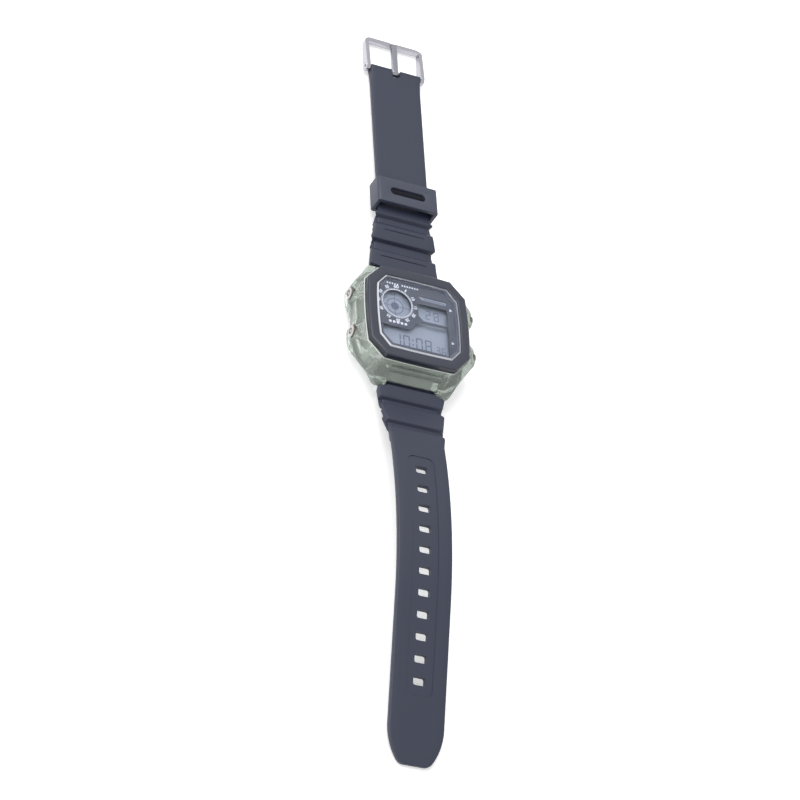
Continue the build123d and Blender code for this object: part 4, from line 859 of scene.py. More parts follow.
def path_curve(points, name, closed=False):
    """Straight-sided curve through points in metres."""
    data = bpy.data.curves.new(name, "CURVE")
    data.dimensions = "3D"
    line = data.splines.new("POLY")
    line.points.add(len(points) - 1)
    for point, place in zip(line.points, points):
        point.co = (*place, 1)
    line.use_cyclic_u = closed
    return linked(name, data)


def rod_mesh(y, z, half_length, radius):
    """Rod along X whose middle line lies at y and z; sizes in mm."""
    work = bmesh.new()
    bmesh.ops.create_cone(work, cap_ends=True, segments=ROD_SIDES, radius1=radius * MM, radius2=radius * MM,
                          depth=2 * half_length * MM,
                          matrix=Matrix.Translation(Vector((0, y, z)) * MM) @ Matrix.Rotation(pi / 2, 4, "Y"))
    return mesh_from(work, "rod")


def carved(mesh, cutters, name):
    """Mesh with closed cutter meshes taken away, one after another."""
    holder = linked(name + "_work", mesh)
    used = []
    for number, cutter_mesh in enumerate(cutters):
        cutter = linked(f"{name}_cutter_{number}", cutter_mesh)
        cut = holder.modifiers.new("Cut", "BOOLEAN")
        cut.object = cutter
        cut.operation = "DIFFERENCE"
        cut.solver = "EXACT"
        used.append(cutter)
    made = evaluated(holder, name)
    for cutter in used:
        bpy.data.objects.remove(cutter)
    return made


def prism_mesh(outline, low, high):
    """Closed upright prism over an outline of (x, y) points in mm."""
    work = bmesh.new()
    floor = [work.verts.new(Vector((x, y, low)) * MM) for x, y in outline]
    roof = [work.verts.new(Vector((x, y, high)) * MM) for x, y in outline]
    work.faces.new(list(reversed(floor)))
    work.faces.new(roof)
    for index in range(len(floor)):
        after = (index + 1) % len(floor)
        work.faces.new((floor[index], floor[after], roof[after], roof[index]))
    bmesh.ops.recalc_face_normals(work, faces=work.faces)
    return mesh_from(work, "prism")


def box_mesh(low, high):
    """Closed box between two corners in mm."""
    (x0, y0, z0), (x1, y1, z1) = low, high
    return prism_mesh([(x0, y0), (x1, y0), (x1, y1), (x0, y1)], z0, z1)


def arc_points(x, y, radius, first, sweep):
    """Points of an arc about (x, y), from one angle in degrees through a sweep."""
    angles = [radians(angle) for angle in range(first, first + sweep + 1, ARC_STEP)]
    return [(x + radius * cos(angle), y + radius * sin(angle)) for angle in angles]


def slot_cutter(half_width, low_y, high_y, low_z, high_z):
    """Prism with a round end towards -Y and a square end towards +Y."""
    arc = arc_points(0, low_y + half_width, half_width, 180, 180)
    return prism_mesh(arc + [(half_width, high_y), (-half_width, high_y)], low_z, high_z)


NOSE_START = 12.0
NOSE_ARC = 18.7
NOSE_CORNER = 1.2
NOSE_END_GAP = 0.001        # keeps the last row off the point where the strap has no thickness
NOSE_ROWS = ((0, 0.6, 0.06), (0.6, 2, 0.15), (2, 13, 0.5))      # from, to and step, back from the tip
PANEL_HALF_WIDTH = 4.4      # sunk panel round the holes
PANEL_DEPTH = 0.22
PANEL_WALL = 0.12
PANEL_MARGIN = 0.2
PANEL_CORNER = 2.0
PANEL_LEAD = 4.8
PANEL_TAIL = 4.4
PANEL_ROWS = (-0.2, -0.06, 0.0, 0.06, 0.15, 0.3, 0.5, 0.75, 1.0, 1.3, 1.6, 2.0)
HOLE_CORNER = 0.6
HOLE_CUT_DEPTH = 6.0
STRAP_CREASE = 38
PATH_STEP = 0.5


def tip_shaping(rubber):
    """Function that narrows the tip and sinks the panel round the holes, and the rows it needs."""
    end = strap_length(TIP_HALF)
    soft = rubber.edge_round / MM
    first = rubber.first_hole / MM
    panel_start = first - PANEL_LEAD
    panel_end = first + (rubber.hole_count - 1) * rubber.hole_pitch / MM + PANEL_TAIL

    def shaped(row, shape):
        """Section at a row, narrowed at the nose and sunk at the panel."""
        upper, middle, lower, top, foot, recess, depth, edge = shape
        left = end - row
        if left < NOSE_START:
            width = upper - NOSE_ARC + sqrt(NOSE_ARC ** 2 - (NOSE_START - left) ** 2)
            if left < NOSE_CORNER:
                turn = (NOSE_CORNER - left) / NOSE_CORNER
                width -= NOSE_CORNER * (1 - sqrt(max(0, 1 - turn * turn)))
            upper = middle = lower = width
        if left < soft:
            pull = soft - sqrt(max(0, soft ** 2 - (soft - left) ** 2))
            top -= pull
            foot += pull
            edge = min(edge, EDGE_SHARE * (top - foot))
        if panel_start - PANEL_MARGIN < row < panel_end + PANEL_MARGIN:
            inside = min(row - panel_start, panel_end - row)
            depth = PANEL_DEPTH * min(max(inside / PANEL_WALL + 0.5, 0), 1)
            turn = min(max(PANEL_CORNER - inside, 0), PANEL_CORNER)
            recess = PANEL_HALF_WIDTH - PANEL_CORNER + sqrt(PANEL_CORNER ** 2 - turn ** 2)
        elif row > panel_end:
            recess = min(PANEL_HALF_WIDTH - PANEL_CORNER, upper / 2)
        return [upper, middle, lower, top, foot, recess, depth, edge]

    rows = [end - left for run in NOSE_ROWS for left in np.arange(*run)]
    rows += [panel_start + step for step in PANEL_ROWS] + [panel_end - step for step in PANEL_ROWS]
    return shaped, rows


def build_tip_strap():
    """Strap half with the nose, the sunk panel and its row of holes."""
    rubber = settings().strap
    end = strap_length(TIP_HALF)
    shaping, extra = tip_shaping(rubber)
    rows = [row for row in strap_stations(TIP_HALF, extra) if row < end] + [end - NOSE_END_GAP]
    holder = linked("tip_strap_work", swept_strap(TIP_HALF, rubber, rows, shaping))
    middle_line = [on_strap(TIP_HALF, row, 0, 0) for row in np.arange(0, end, PATH_STEP)]
    path = path_curve(middle_line, "tip_path")
    add_modifier(holder, hole_row_tree(), {
        "Path": path, "Count": rubber.hole_count, "First hole": rubber.first_hole,
        "Pitch": rubber.hole_pitch, "Hole width": rubber.hole_width,
        "Hole length": rubber.hole_length, "Corner": HOLE_CORNER * MM, "Depth": HOLE_CUT_DEPTH * MM,
        "Material": strap_rubber()})
    mesh = evaluated(holder, "tip_strap")
    bpy.data.objects.remove(path)
    mesh = carved(mesh, [rod_mesh(-PIN_Y, PIN_Z, NECK_HALF_WIDTH + OVERRUN, PIN_BORE)], "tip_strap")
    outward(mesh)
    soft_shading(mesh, STRAP_CREASE)
    piece("tip_strap_rubber", mesh, "tip_strap", strap_rubber(), ("strap_tip_side",))


BAR_KNUCKLE = 1.75
BAR_KNUCKLE_PLAY = 0.1      # the swell stays this far inside the knuckle
BAR_BORE = 0.8
END_SWELL = 9.0             # length over which the strap thickens towards the bar
END_EDGE = 0.3
END_HALF_THICKNESS = 0.02
END_ROWS = 12
TONGUE_NOTCH = 1.55
TONGUE_NOTCH_DEPTH = 3.0


def build_buckle_strap():
    """Strap half that ends in a knuckle round the buckle's bar, with a notch for the tongue."""
    rubber = settings().strap
    end = strap_length(BUCKLE_HALF)

    def shaped(row, shape):
        """Section at a row, thickened round the buckle's bar."""
        upper, middle, lower, top, foot, recess, depth, edge = shape
        near = row - end
        if -END_SWELL < near:
            swell = (1 + min(near, 0) / END_SWELL) ** 2
            top += swell * (BAR_KNUCKLE - BAR_KNUCKLE_PLAY - top)
            foot -= swell * (BAR_KNUCKLE - BAR_KNUCKLE_PLAY + foot)
        if near > -BAR_KNUCKLE:
            reach = sqrt(max(0, BAR_KNUCKLE ** 2 - near ** 2))
            if near <= 0:
                top, foot = max(top, reach), min(foot, -reach)
            else:
                top = max(reach, END_HALF_THICKNESS)
                foot = -top
            edge = min(END_EDGE, EDGE_SHARE * (top - foot))
        return [upper, middle, lower, top, foot, recess, depth, edge]

    rows = [row for row in strap_stations(BUCKLE_HALF) if row < end - BAR_KNUCKLE - EDGE_GAP]
    rows += [end + BAR_KNUCKLE * sin(step / END_ROWS * pi / 2) for step in range(-END_ROWS, END_ROWS + 1)]
    mesh = swept_strap(BUCKLE_HALF, rubber, rows, shaped)
    y, z, _ = strap_state(BUCKLE_HALF, end)
    reach = rubber.half_width / MM + OVERRUN
    notch = slot_cutter(TONGUE_NOTCH, y - TONGUE_NOTCH_DEPTH, y + BAR_KNUCKLE + OVERRUN,
                        z - BAR_KNUCKLE - OVERRUN, z + BAR_KNUCKLE + OVERRUN)
    cutters = [rod_mesh(y, z, reach, BAR_BORE), notch, rod_mesh(PIN_Y, PIN_Z, reach, PIN_BORE)]
    mesh = carved(mesh, cutters, "buckle_strap")
    outward(mesh)
    soft_shading(mesh, STRAP_CREASE)
    piece("buckle_strap_rubber", mesh, "buckle_strap", strap_rubber(),
          ("strap_buckle_side",))


KEEPER_MIDDLE = 30.4
KEEPER_LENGTH = 9.6
KEEPER_WALL = 1.35
KEEPER_PLAY = 0.3
KEEPER_HEADROOM = 2.0
KEEPER_CORNER = 1.0
KEEPER_INNER_CORNER = 0.35
KEEPER_EDGE = 0.32
KEEPER_EDGE_ANGLE = 40
KEEPER_CREASE = 35
KEEPER_SLOT_HALF = 6.2
KEEPER_SLOT_HEIGHT = 2.7
KEEPER_SLOT_SINK = 0.6      # how far the slot's cutter reaches into the room for the strap


def rounded_bar(half_width, low, high, half_length, radius):
    """Closed bar along Y whose section has round corners."""
    corners = []
    for across, up, first in ((1, 1, 0), (-1, 1, 90), (-1, -1, 180), (1, -1, 270)):
        corners += arc_points(across * (half_width - radius), high - radius if up > 0 else low + radius,
                              radius, first, 90)
    mesh = prism_mesh(corners, -half_length, half_length)
    # the prism's outline lies in XY: stand it so that its height runs along Y
    mesh.transform(Matrix(((1, 0, 0, 0), (0, 0, -1, 0), (0, 1, 0, 0), (0, 0, 0, 1))))
    return mesh


def build_keeper():
    """Loop that holds the free end, with soft edges and a slot in its top."""
    rubber = settings().strap
    thick, plain = rubber.half_thickness / MM, rubber.half_width / MM
    inner_half = plain + KEEPER_PLAY
    inner_low, inner_high = -thick - KEEPER_PLAY, thick + KEEPER_HEADROOM
    outer = rounded_bar(inner_half + KEEPER_WALL, inner_low - KEEPER_WALL, inner_high + KEEPER_WALL,
                        KEEPER_LENGTH / 2, KEEPER_CORNER)
    room = rounded_bar(inner_half, inner_low, inner_high, KEEPER_LENGTH, KEEPER_INNER_CORNER)
    radius = KEEPER_SLOT_HEIGHT / 2
    rim = arc_points(KEEPER_SLOT_HALF - radius, 0, radius, -90, 180)
    rim += arc_points(radius - KEEPER_SLOT_HALF, 0, radius, 90, 180)
    slot = prism_mesh(rim, inner_high - KEEPER_SLOT_SINK, inner_high + KEEPER_WALL + OVERRUN)
    holder = linked("keeper_work", carved(outer, [room, slot], "keeper"))
    edge = holder.modifiers.new("Soft edges", "BEVEL")
    edge.width, edge.segments, edge.angle_limit = KEEPER_EDGE * MM, 3, radians(KEEPER_EDGE_ANGLE)
    mesh = evaluated(holder, "keeper")
    y, z, heading = strap_state(BUCKLE_HALF, KEEPER_MIDDLE)
    mesh.transform(Matrix.Translation(Vector((0, y, z)) * MM) @ Matrix.Rotation(heading, 4, "X"))
    outward(mesh)
    soft_shading(mesh, KEEPER_CREASE)
    piece("keeper_rubber", mesh, "keeper", keeper_rubber(), ("strap_keeper",))


# Case and bezel

CASE_EDGE_SHARE = 0.6       # rounding of the case's edges, of the bezel's
HOOD_HALF = 8.6             # fine step across the slope of each hood
HOOD_NEAR = 19.15
HOOD_FAR = 19.55
HOOD_LOW = 6.15
HOOD_HIGH = 8.0
BEZEL_HALF_WIDTH = 17.1
BEZEL_HALF_LENGTH = 16.95
BEZEL_TOP_SLOPE = 0.8       # faces that look up more than this are the bezel's top; the rest get the darker colour of painted shade
BEAD_CUT_X = 5.1
BEAD_CUT_Y = 5.45
BEAD_SIDE_BOW = 0.5
BEAD_END_BOW = 0.25
BEAD_POINTS = 25
BEAD_SIDES = 10
SHOULDER_Z = lowest("bezel").z


def build_case():
    """Clear case and bezel with the soft edges of moulded pieces."""
    soft = settings().case.softness
    shell = softened_copy("case_shell", soft * CASE_EDGE_SHARE, CASE_EDGE_ANGLE, 2)
    steps = [box_mesh((-HOOD_HALF, low, HOOD_LOW), (HOOD_HALF, high, HOOD_HIGH))
             for low, high in ((-HOOD_FAR, -HOOD_NEAR), (HOOD_NEAR, HOOD_FAR))]
    shell = carved(shell, steps, "case_clear")
    soft_shading(shell, EDGE_CREASE)
    piece("case_clear", shell, "watch_case", clear_resin(), ("case_shell",))
    bezel = softened_copy("bezel", soft, CASE_EDGE_ANGLE)
    piece("bezel_moulded", bezel, "watch_case", bezel_resin(), ("bezel",))
    # The bezel's walls get a darker copy of its colour as painted shade; its top keeps the bezel's colour
    bezel.materials.append(bezel_painted_shade_resin())
    for face in bezel.polygons:
        face.material_index = 1 if face.normal.z < BEZEL_TOP_SLOPE else 0


def bead_path(half_width, half_length):
    """Closed run of points in metres along the bezel's foot, bowed outwards at its sides and ends."""
    side_y, end_x = half_length - BEAD_CUT_Y, half_width - BEAD_CUT_X
    half = []
    for part in np.linspace(-1, 1, BEAD_POINTS):
        half.append((half_width + BEAD_SIDE_BOW * (1 - part * part), side_y * part))
    for part in np.linspace(-1, 1, BEAD_POINTS):
        half.append((-end_x * part, half_length + BEAD_END_BOW * (1 - part * part)))
    return [Vector((side * x, side * y, SHOULDER_Z)) * MM for side in (1, -1) for x, y in half]


def bead_tree():
    """Round bead along a closed path."""
    tree, inlet, outlet = new_tree("Bead along a path", "GeometryNodeTree", [
        ("Geometry", GEOMETRY), ("Radius", FLOAT), ("Sides", WHOLE), ("Material", MATERIAL),
    ], [("Geometry", GEOMETRY)])
    section = node(tree, "GeometryNodeCurvePrimitiveCircle")
    swept = node(tree, "GeometryNodeCurveToMesh")
    smooth = node(tree, "GeometryNodeSetShadeSmooth")
    whole = node(tree, "GeometryNodeRealizeInstances")
    painted = node(tree, "GeometryNodeSetMaterial")
    chain(tree,
          (inlet, "Radius", section, "Radius"), (inlet, "Sides", section, "Resolution"),
          (inlet, "Geometry", swept, "Curve"), (section, "Curve", swept, "Profile Curve"),
          (swept, "Mesh", smooth, "Geometry"), (smooth, "Geometry", whole, "Geometry"),
          (whole, "Geometry", painted, "Geometry"), (inlet, "Material", painted, "Material"),
          (painted, "Geometry", outlet, "Geometry"))
    return tree


def build_bead():
    """Line of pale resin that runs round the bezel's foot: a painted highlight of the case's ledge."""
    radius = settings().case.bead / 2
    points = bead_path(BEZEL_HALF_WIDTH + radius / MM, BEZEL_HALF_LENGTH + radius / MM)
    holder = path_curve(points, "bead_work", closed=True)
    add_modifier(holder, bead_tree(), {"Radius": radius, "Sides": BEAD_SIDES, "Material": bead_painted_highlight()})
    mesh = evaluated(holder, "bezel_bead")
    outward(mesh)
    piece("bezel_bead", mesh, "watch_case", bead_painted_highlight())


# Buttons and springs

BUTTON_SIDES = ("upper_left", "lower_left", "upper_right", "lower_right")
BUTTON_Y = 7.2
BUTTON_Z = 5.8
BUTTON_RADIUS = 2.0
BUTTON_EDGE = 0.22
PIN_BODIES = {"lug_pin_upper": "watch_case", "lug_pin_lower": "watch_case", "buckle_bar": "buckle_strap"}
SPRING_CREASE = 40
CUT_TOLERANCE = 1e-8

# Brightness of the painted rings of shade and reflection, at shares of the button's radius; darkest in a ring
# inside the face and at the rim
RING_LEVELS = ((0.0, 1.0), (0.16, 1.0), (0.26, 0.0), (0.5, 0.1), (0.6, 1.0), (0.9, 0.8), (1.0, 0.25))
# Dark colour of the painted rings of shade and reflection
RING_SHADE = (0.06, 0.055, 0.05, 1)

# Colour sockets of a mix node, which share their names with its other sockets
MIX_FIRST = 6
MIX_SECOND = 7
MIX_RESULT = 2


def painted_ring_group():
    """Rings of painted shade and reflection on the button faces: a mask by the distance from each button's
    middle.
    """
    name = "Turned rings"
    if name in bpy.data.node_groups:
        return bpy.data.node_groups[name]
    tree, inlet, outlet = new_tree(name, "ShaderNodeTree", [
        ("Across", FLOAT, BUTTON_Y * MM), ("Up", FLOAT, BUTTON_Z * MM), ("Radius", FLOAT, BUTTON_RADIUS * MM),
    ], [("Mask", FLOAT)])
    place = node(tree, "ShaderNodeTexCoord")
    parts = node(tree, "ShaderNodeSeparateXYZ")
    off = node(tree, "ShaderNodeMath", operation="ABSOLUTE")
    across = node(tree, "ShaderNodeMath", operation="SUBTRACT")
    up = node(tree, "ShaderNodeMath", operation="SUBTRACT")
    both = node(tree, "ShaderNodeCombineXYZ")
    reach = node(tree, "ShaderNodeVectorMath", operation="LENGTH")
    part = node(tree, "ShaderNodeMath", operation="DIVIDE")
    ramp = node(tree, "ShaderNodeValToRGB")
    chain(tree,
          (place, "Object", parts, 0), (parts, "Y", off, 0), (off, 0, across, 0),
          (inlet, "Across", across, 1), (parts, "Z", up, 0), (inlet, "Up", up, 1),
          (across, 0, both, "X"), (up, 0, both, "Y"), (both, 0, reach, 0),
          (reach, "Value", part, 0), (inlet, "Radius", part, 1), (part, 0, ramp, "Fac"),
          (ramp, "Color", outlet, "Mask"))
    steps = ramp.color_ramp.elements
    for position, _ in RING_LEVELS[1:-1]:
        steps.new(position)
    for step, (position, level) in zip(steps, RING_LEVELS):
        step.color = (level, level, level, 1)
    return tree


def button_steel():
    """Bright steel with dark rings of painted shade and reflection in its face."""
    name = "Button steel"
    if name in bpy.data.materials:
        return bpy.data.materials[name]
    made = brushed(name, settings().metal.polished, 0.26, uneven=0.2, bump=0.05, along=(900, 900, 900))
    tree = made.node_tree
    shader, effect = only_node(tree, "BSDF_PRINCIPLED"), only_node(tree, "GROUP")
    rings = node(tree, "ShaderNodeGroup", node_tree=painted_ring_group())
    shade = node(tree, "ShaderNodeMix", data_type="RGBA", blend_type="MIX")
    shade.inputs[MIX_FIRST].default_value = RING_SHADE
    chain(tree, (rings, "Mask", shade, 0), (effect, "Colour", shade, MIX_SECOND),
          (shade, MIX_RESULT, shader, "Base Color"))
    return made


def build_buttons():
    """Push buttons with rounded rims and rings of painted shade and reflection."""
    for side in BUTTON_SIDES:
        node_name = "button_" + side
        # Each face gets painted rings of shade and reflection from its steel
        piece(node_name + "_turned", softened_copy(node_name, BUTTON_EDGE * MM), node_name,
              button_steel(), (node_name,))


def spring_half(mesh, side):
    """The part of a coil on one side of X = 0, its cut ends closed."""
    work = bmesh.new()
    work.from_mesh(mesh)
    bmesh.ops.bisect_plane(work, geom=work.verts[:] + work.edges[:] + work.faces[:], dist=CUT_TOLERANCE,
                           plane_co=(0, 0, 0), plane_no=(side, 0, 0), clear_inner=True)
    bmesh.ops.holes_fill(work, edges=[edge for edge in work.edges if edge.is_boundary])
    bmesh.ops.recalc_face_normals(work, faces=work.faces)
    return mesh_from(work, "spring_half")


def giving_spring(name, mesh, body, node_name):
    """Coil that rides on its body, with a mesh of its own."""
    soft_shading(mesh, SPRING_CREASE)
    made = piece(name, mesh, body, spring_steel(), (node_name,))
    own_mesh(made)


def build_springs():
    """Springs: one behind each button, and one in each pin, in two halves."""
    for side in BUTTON_SIDES:
        node_name = "button_spring_" + side
        mesh = NODES[node_name].data.copy()
        outward(mesh)
        giving_spring(node_name + "_coil", mesh, "watch_case", node_name)
    for pin, body in PIN_BODIES.items():
        node_name = pin + "_spring"
        mesh = NODES[node_name].data.copy()
        outward(mesh)
        for hand in ("left", "right"):
            tip = f"{pin}_tip_{hand}"
            side = 1 if highest(tip).x > 0 else -1
            giving_spring(f"{node_name}_{hand}", spring_half(mesh, side), body, node_name)


# Glass and dial

GLASS_SIDE_SLOPE = 0.25     # faces of the glass that look up less are its sides
GLASS_TOP_SLOPE = 0.93      # faces that look up more are its top
SEAL_SINK = 0.025           # keeps the seal's top off the underside of the glass
SUBDIAL = Vector((-6.95, 4.15, 0))
NUMERAL_COUNT = 12
NUMERAL_STEP = 5
NUMERAL_RADIUS = 6.4
TOP_NUMERAL_SHARE = 1.25    # height of the number at the top, of the others'
FONT_SHARE = 1.38           # size of the font whose digits have a height of 1
BOLD_SHARE = 0.05
TICK_RADIUS = 5.42
TICK_LENGTH = 0.42
TICK_WIDTH = 0.22
TICK_RING_WIDTH = 0.2
TICK_COUNT = 60
RING_SIDES = 96
PRINT_SINK = 0.002          # how far the print stands in the mask
PRINT_LOW = highest("face_mask").z - PRINT_SINK
PRINT_HEIGHT = 0.03
PRINT_HIGH = PRINT_LOW + PRINT_HEIGHT
PRINT_MIDDLE = Vector((0, 0, PRINT_LOW + PRINT_HEIGHT / 2))

# Rows of plain marks: left, foot, width and height of the first one, count and pitch
MARK_ROWS = ((-10.2, 11.15, 0.46, 0.6, 5, 0.88), (-5.0, 11.15, 0.46, 0.6, 7, 0.88),
             (-10.2, -3.6, 0.85, 0.8, 5, 1.35))
POINTER_TIP_X = 12.5
POINTER_FOOT_X = 11.5
POINTER_HALF = 0.55
POINTER_Y = 6.3
STRIP_OUTLINE = ((0.1, 9.3), (2.0, 7.4), (10.9, 7.4), (10.9, 9.3))
STRIP_GAP = 0.11            # from the mask's underside down to the strip
STRIP_TOP_Z = lowest("face_mask").z - STRIP_GAP
STRIP_THICKNESS = 0.1
BAR_COUNT = 9
BAR_PITCH = 0.82
BAR_WIDTH = 0.5
BAR_LEFT = 2.9
BAR_LOW_Y = 8.15
BAR_HIGH_Y = 8.55


def build_glass():
    """Glass with its bevel painted as a highlight and its sides painted light, and the seal under it."""
    seal = NODES["crystal_gasket"].data.copy()
    outward(seal)
    middle = sum(point.co.z for point in seal.vertices) / len(seal.vertices)
    for point in seal.vertices:
        if point.co.z > middle:
            point.co.z -= SEAL_SINK * MM
    piece("glass_seal", seal, "watch_case", seal_rubber(), ("crystal_gasket",))
    data = NODES["crystal"].data
    data.materials.clear()
    # The bevel and the sides are opaque and pale: painted highlight and painted light in place of what the
    # clear glass shows
    for material in (clear_plastic(), glass_edge_painted_highlight(), glass_side_painted_light()):
        data.materials.append(material)
    for face in data.polygons:
        slope = face.normal.z
        if abs(slope) < GLASS_SIDE_SLOPE:
            face.material_index = 2
        else:
            face.material_index = 1 if GLASS_SIDE_SLOPE < slope < GLASS_TOP_SLOPE else 0


def numeral_mesh(text, height, place, turn):
    """Printed number as a thin mesh on the mask."""
    curve = bpy.data.curves.new("numeral", "FONT")
    curve.body = text
    curve.align_x = "CENTER"
    curve.align_y = "CENTER"
    curve.size = height * FONT_SHARE
    curve.extrude = PRINT_HEIGHT * MM / 2
    curve.offset = height * BOLD_SHARE
    curve.resolution_u = 3
    mesh = evaluated(linked("numeral", curve), "numeral")
    mesh.transform(Matrix.Translation((place + PRINT_MIDDLE) * MM) @ Matrix.Rotation(turn, 4, "Z"))
    return mesh


def joined(meshes, name):
    """One mesh from several."""
    work = bmesh.new()
    for mesh in meshes:
        work.from_mesh(mesh)
    return mesh_from(work, name)


def build_numerals():
    """Numbers round the small dial, the highest of them at the top and larger."""
    height = settings().dial.numeral_height
    meshes = []
    for index in range(1, NUMERAL_COUNT + 1):
        angle = 2 * pi * (index % NUMERAL_COUNT) / NUMERAL_COUNT
        place = SUBDIAL + Vector((sin(angle), cos(angle), 0)) * NUMERAL_RADIUS
        scale = 1 if index % NUMERAL_COUNT else TOP_NUMERAL_SHARE
        meshes.append(numeral_mesh(str(NUMERAL_STEP * index), height * scale, place, -angle))
    mesh = joined(meshes, "numerals")
    outward(mesh)
    piece("dial_numerals", mesh, "watch_case", white_print())


def tick_ring_tree():
    """Ticks round a circle, each turned to face its middle."""
    tree, inlet, outlet = new_tree("Ring of ticks", "GeometryNodeTree", [
        ("Geometry", GEOMETRY), ("Count", WHOLE), ("Radius", FLOAT), ("Tick size", VECTOR),
        ("Middle", VECTOR), ("Material", MATERIAL),
    ], [("Geometry", GEOMETRY)])
    circle = node(tree, "GeometryNodeMeshCircle")
    tick = node(tree, "GeometryNodeMeshCube")
    index = node(tree, "GeometryNodeInputIndex")
    step = node(tree, "ShaderNodeMath", {0: 2 * pi}, operation="DIVIDE")
    angle = node(tree, "ShaderNodeMath", operation="MULTIPLY")
    turn = node(tree, "ShaderNodeCombineXYZ")
    spread = node(tree, "GeometryNodeInstanceOnPoints")
    moved = node(tree, "GeometryNodeTransform")
    both = node(tree, "GeometryNodeJoinGeometry")
    whole = node(tree, "GeometryNodeRealizeInstances")
    painted = node(tree, "GeometryNodeSetMaterial")
    chain(tree,
          (inlet, "Count", circle, "Vertices"), (inlet, "Radius", circle, "Radius"),
          (inlet, "Tick size", tick, "Size"), (inlet, "Count", step, 1), (index, 0, angle, 0),
          (step, 0, angle, 1), (angle, 0, turn, "Z"), (circle, "Mesh", spread, "Points"),
          (tick, "Mesh", spread, "Instance"), (turn, 0, spread, "Rotation"),
          (spread, "Instances", moved, "Geometry"), (inlet, "Middle", moved, "Translation"),
          (moved, "Geometry", both, "Geometry"), (inlet, "Geometry", both, "Geometry"),
          (both, "Geometry", whole, "Geometry"), (whole, "Geometry", painted, "Geometry"),
          (inlet, "Material", painted, "Material"), (painted, "Geometry", outlet, "Geometry"))
    return tree


def ring_mesh(middle, inner, outer, low, high):
    """Closed flat ring; sizes in mm."""
    work = bmesh.new()
    rows = []
    for index in range(RING_SIDES):
        angle = 2 * pi * index / RING_SIDES
        way = Vector((cos(angle), sin(angle), 0))
        rows.append([work.verts.new((middle + way * reach + Vector((0, 0, z))) * MM)
                     for reach, z in ((inner, low), (outer, low), (outer, high), (inner, high))])
    for near, far in zip(rows, rows[1:] + rows[:1]):
        for side in range(4):
            after = (side + 1) % 4
            work.faces.new((near[side], far[side], far[after], near[after]))
    bmesh.ops.recalc_face_normals(work, faces=work.faces)
    return mesh_from(work, "ring")


def build_prints():
    """Tick ring of the small dial, rows of plain marks and two pointers on the mask."""
    ring_outer = TICK_RADIUS - TICK_LENGTH / 2
    marks = [ring_mesh(SUBDIAL, ring_outer - TICK_RING_WIDTH, ring_outer, PRINT_LOW, PRINT_HIGH)]
    for x, y, width, height, count, pitch in MARK_ROWS:
        for index in range(count):
            left = x + index * pitch
            marks.append(box_mesh((left, y, PRINT_LOW), (left + width, y + height, PRINT_HIGH)))
    for y in (POINTER_Y, -POINTER_Y):
        corners = [(POINTER_TIP_X, y), (POINTER_FOOT_X, y + POINTER_HALF), (POINTER_FOOT_X, y - POINTER_HALF)]
        marks.append(prism_mesh(corners, PRINT_LOW, PRINT_HIGH))
    holder = linked("prints_work", joined(marks, "prints"))
    add_modifier(holder, tick_ring_tree(), {
        "Count": TICK_COUNT, "Radius": TICK_RADIUS * MM,
        "Tick size": (TICK_LENGTH * MM, TICK_WIDTH * MM, PRINT_HEIGHT * MM),
        "Middle": (SUBDIAL + PRINT_MIDDLE) * MM, "Material": white_print()})
    mesh = evaluated(holder, "prints")
    piece("dial_prints", mesh, "watch_case", white_print(), ("dial_markings",))


def build_strip():
    """Pale strip with small bars behind the slanted window of the mask."""
    plate = prism_mesh(STRIP_OUTLINE, STRIP_TOP_Z - STRIP_THICKNESS, STRIP_TOP_Z)
    piece("dial_strip", plate, "watch_case", panel_film())
    bars = []
    for index in range(BAR_COUNT):
        left = BAR_LEFT + index * BAR_PITCH
        bars.append(box_mesh((left, BAR_LOW_Y, STRIP_TOP_Z),
                             (left + BAR_WIDTH, BAR_HIGH_Y, STRIP_TOP_Z + PRINT_HEIGHT)))
    piece("dial_strip_bars", joined(bars, "strip_bars"), "watch_case", segment_print())


# Buckle

BUCKLE_EDGE = 0.3
TONGUE_EDGE = 0.2


def build_buckle():
    """Buckle and tongue with polished round edges."""
    piece("buckle_polished", softened_copy("buckle_frame", BUCKLE_EDGE * MM), "buckle",
          buckle_steel(), ("buckle_frame",))
    piece("tongue_polished", softened_copy("buckle_tongue", TONGUE_EDGE * MM, segments=2), "tongue",
          tongue_steel(), ("buckle_tongue",))


# Stage: places in metres, lengths of the camera in mm

CAMERA_PLACE = Vector((-371.208, -537.710, 681.363)) * MM
CAMERA_TURN = (35.06453, -26.38439, -3.35903)
LENS = 135
SENSOR_WIDTH = 36
NEAREST_SEEN = 0.01
FLOOR_HALF = 4.0
FLOOR_GLOW = 0.42
OVERHEAD_PLACE = Vector((-0.35, 0.3, 0.95))
OVERHEAD_SIZE = (0.9, 0.7)
LEFT_PLACE = Vector((-1.0, -0.25, 0.55))
LEFT_SIZE = (0.7, 0.7)
WHITE = (1, 1, 1, 1)


def seen_directly(tree):
    """Node that puts out 1 for what is seen straight, mirrored or through glass."""
    rays = node(tree, "ShaderNodeLightPath")
    seen = node(tree, "ShaderNodeMath", operation="MAXIMUM")
    through = node(tree, "ShaderNodeMath", operation="MAXIMUM")
    chain(tree, (rays, "Is Camera Ray", seen, 0), (rays, "Is Glossy Ray", seen, 1),
          (seen, 0, through, 0), (rays, "Is Transmission Ray", through, 1))
    return through


def build_camera():
    """Camera that sees the watch as it was photographed."""
    data = bpy.data.cameras.new("camera")
    data.lens = LENS
    data.sensor_width = SENSOR_WIDTH
    data.clip_start = NEAREST_SEEN
    camera = linked("camera", data)
    camera.location = CAMERA_PLACE
    camera.rotation_euler = Euler([radians(turn) for turn in CAMERA_TURN], "XYZ")
    bpy.context.scene.camera = camera


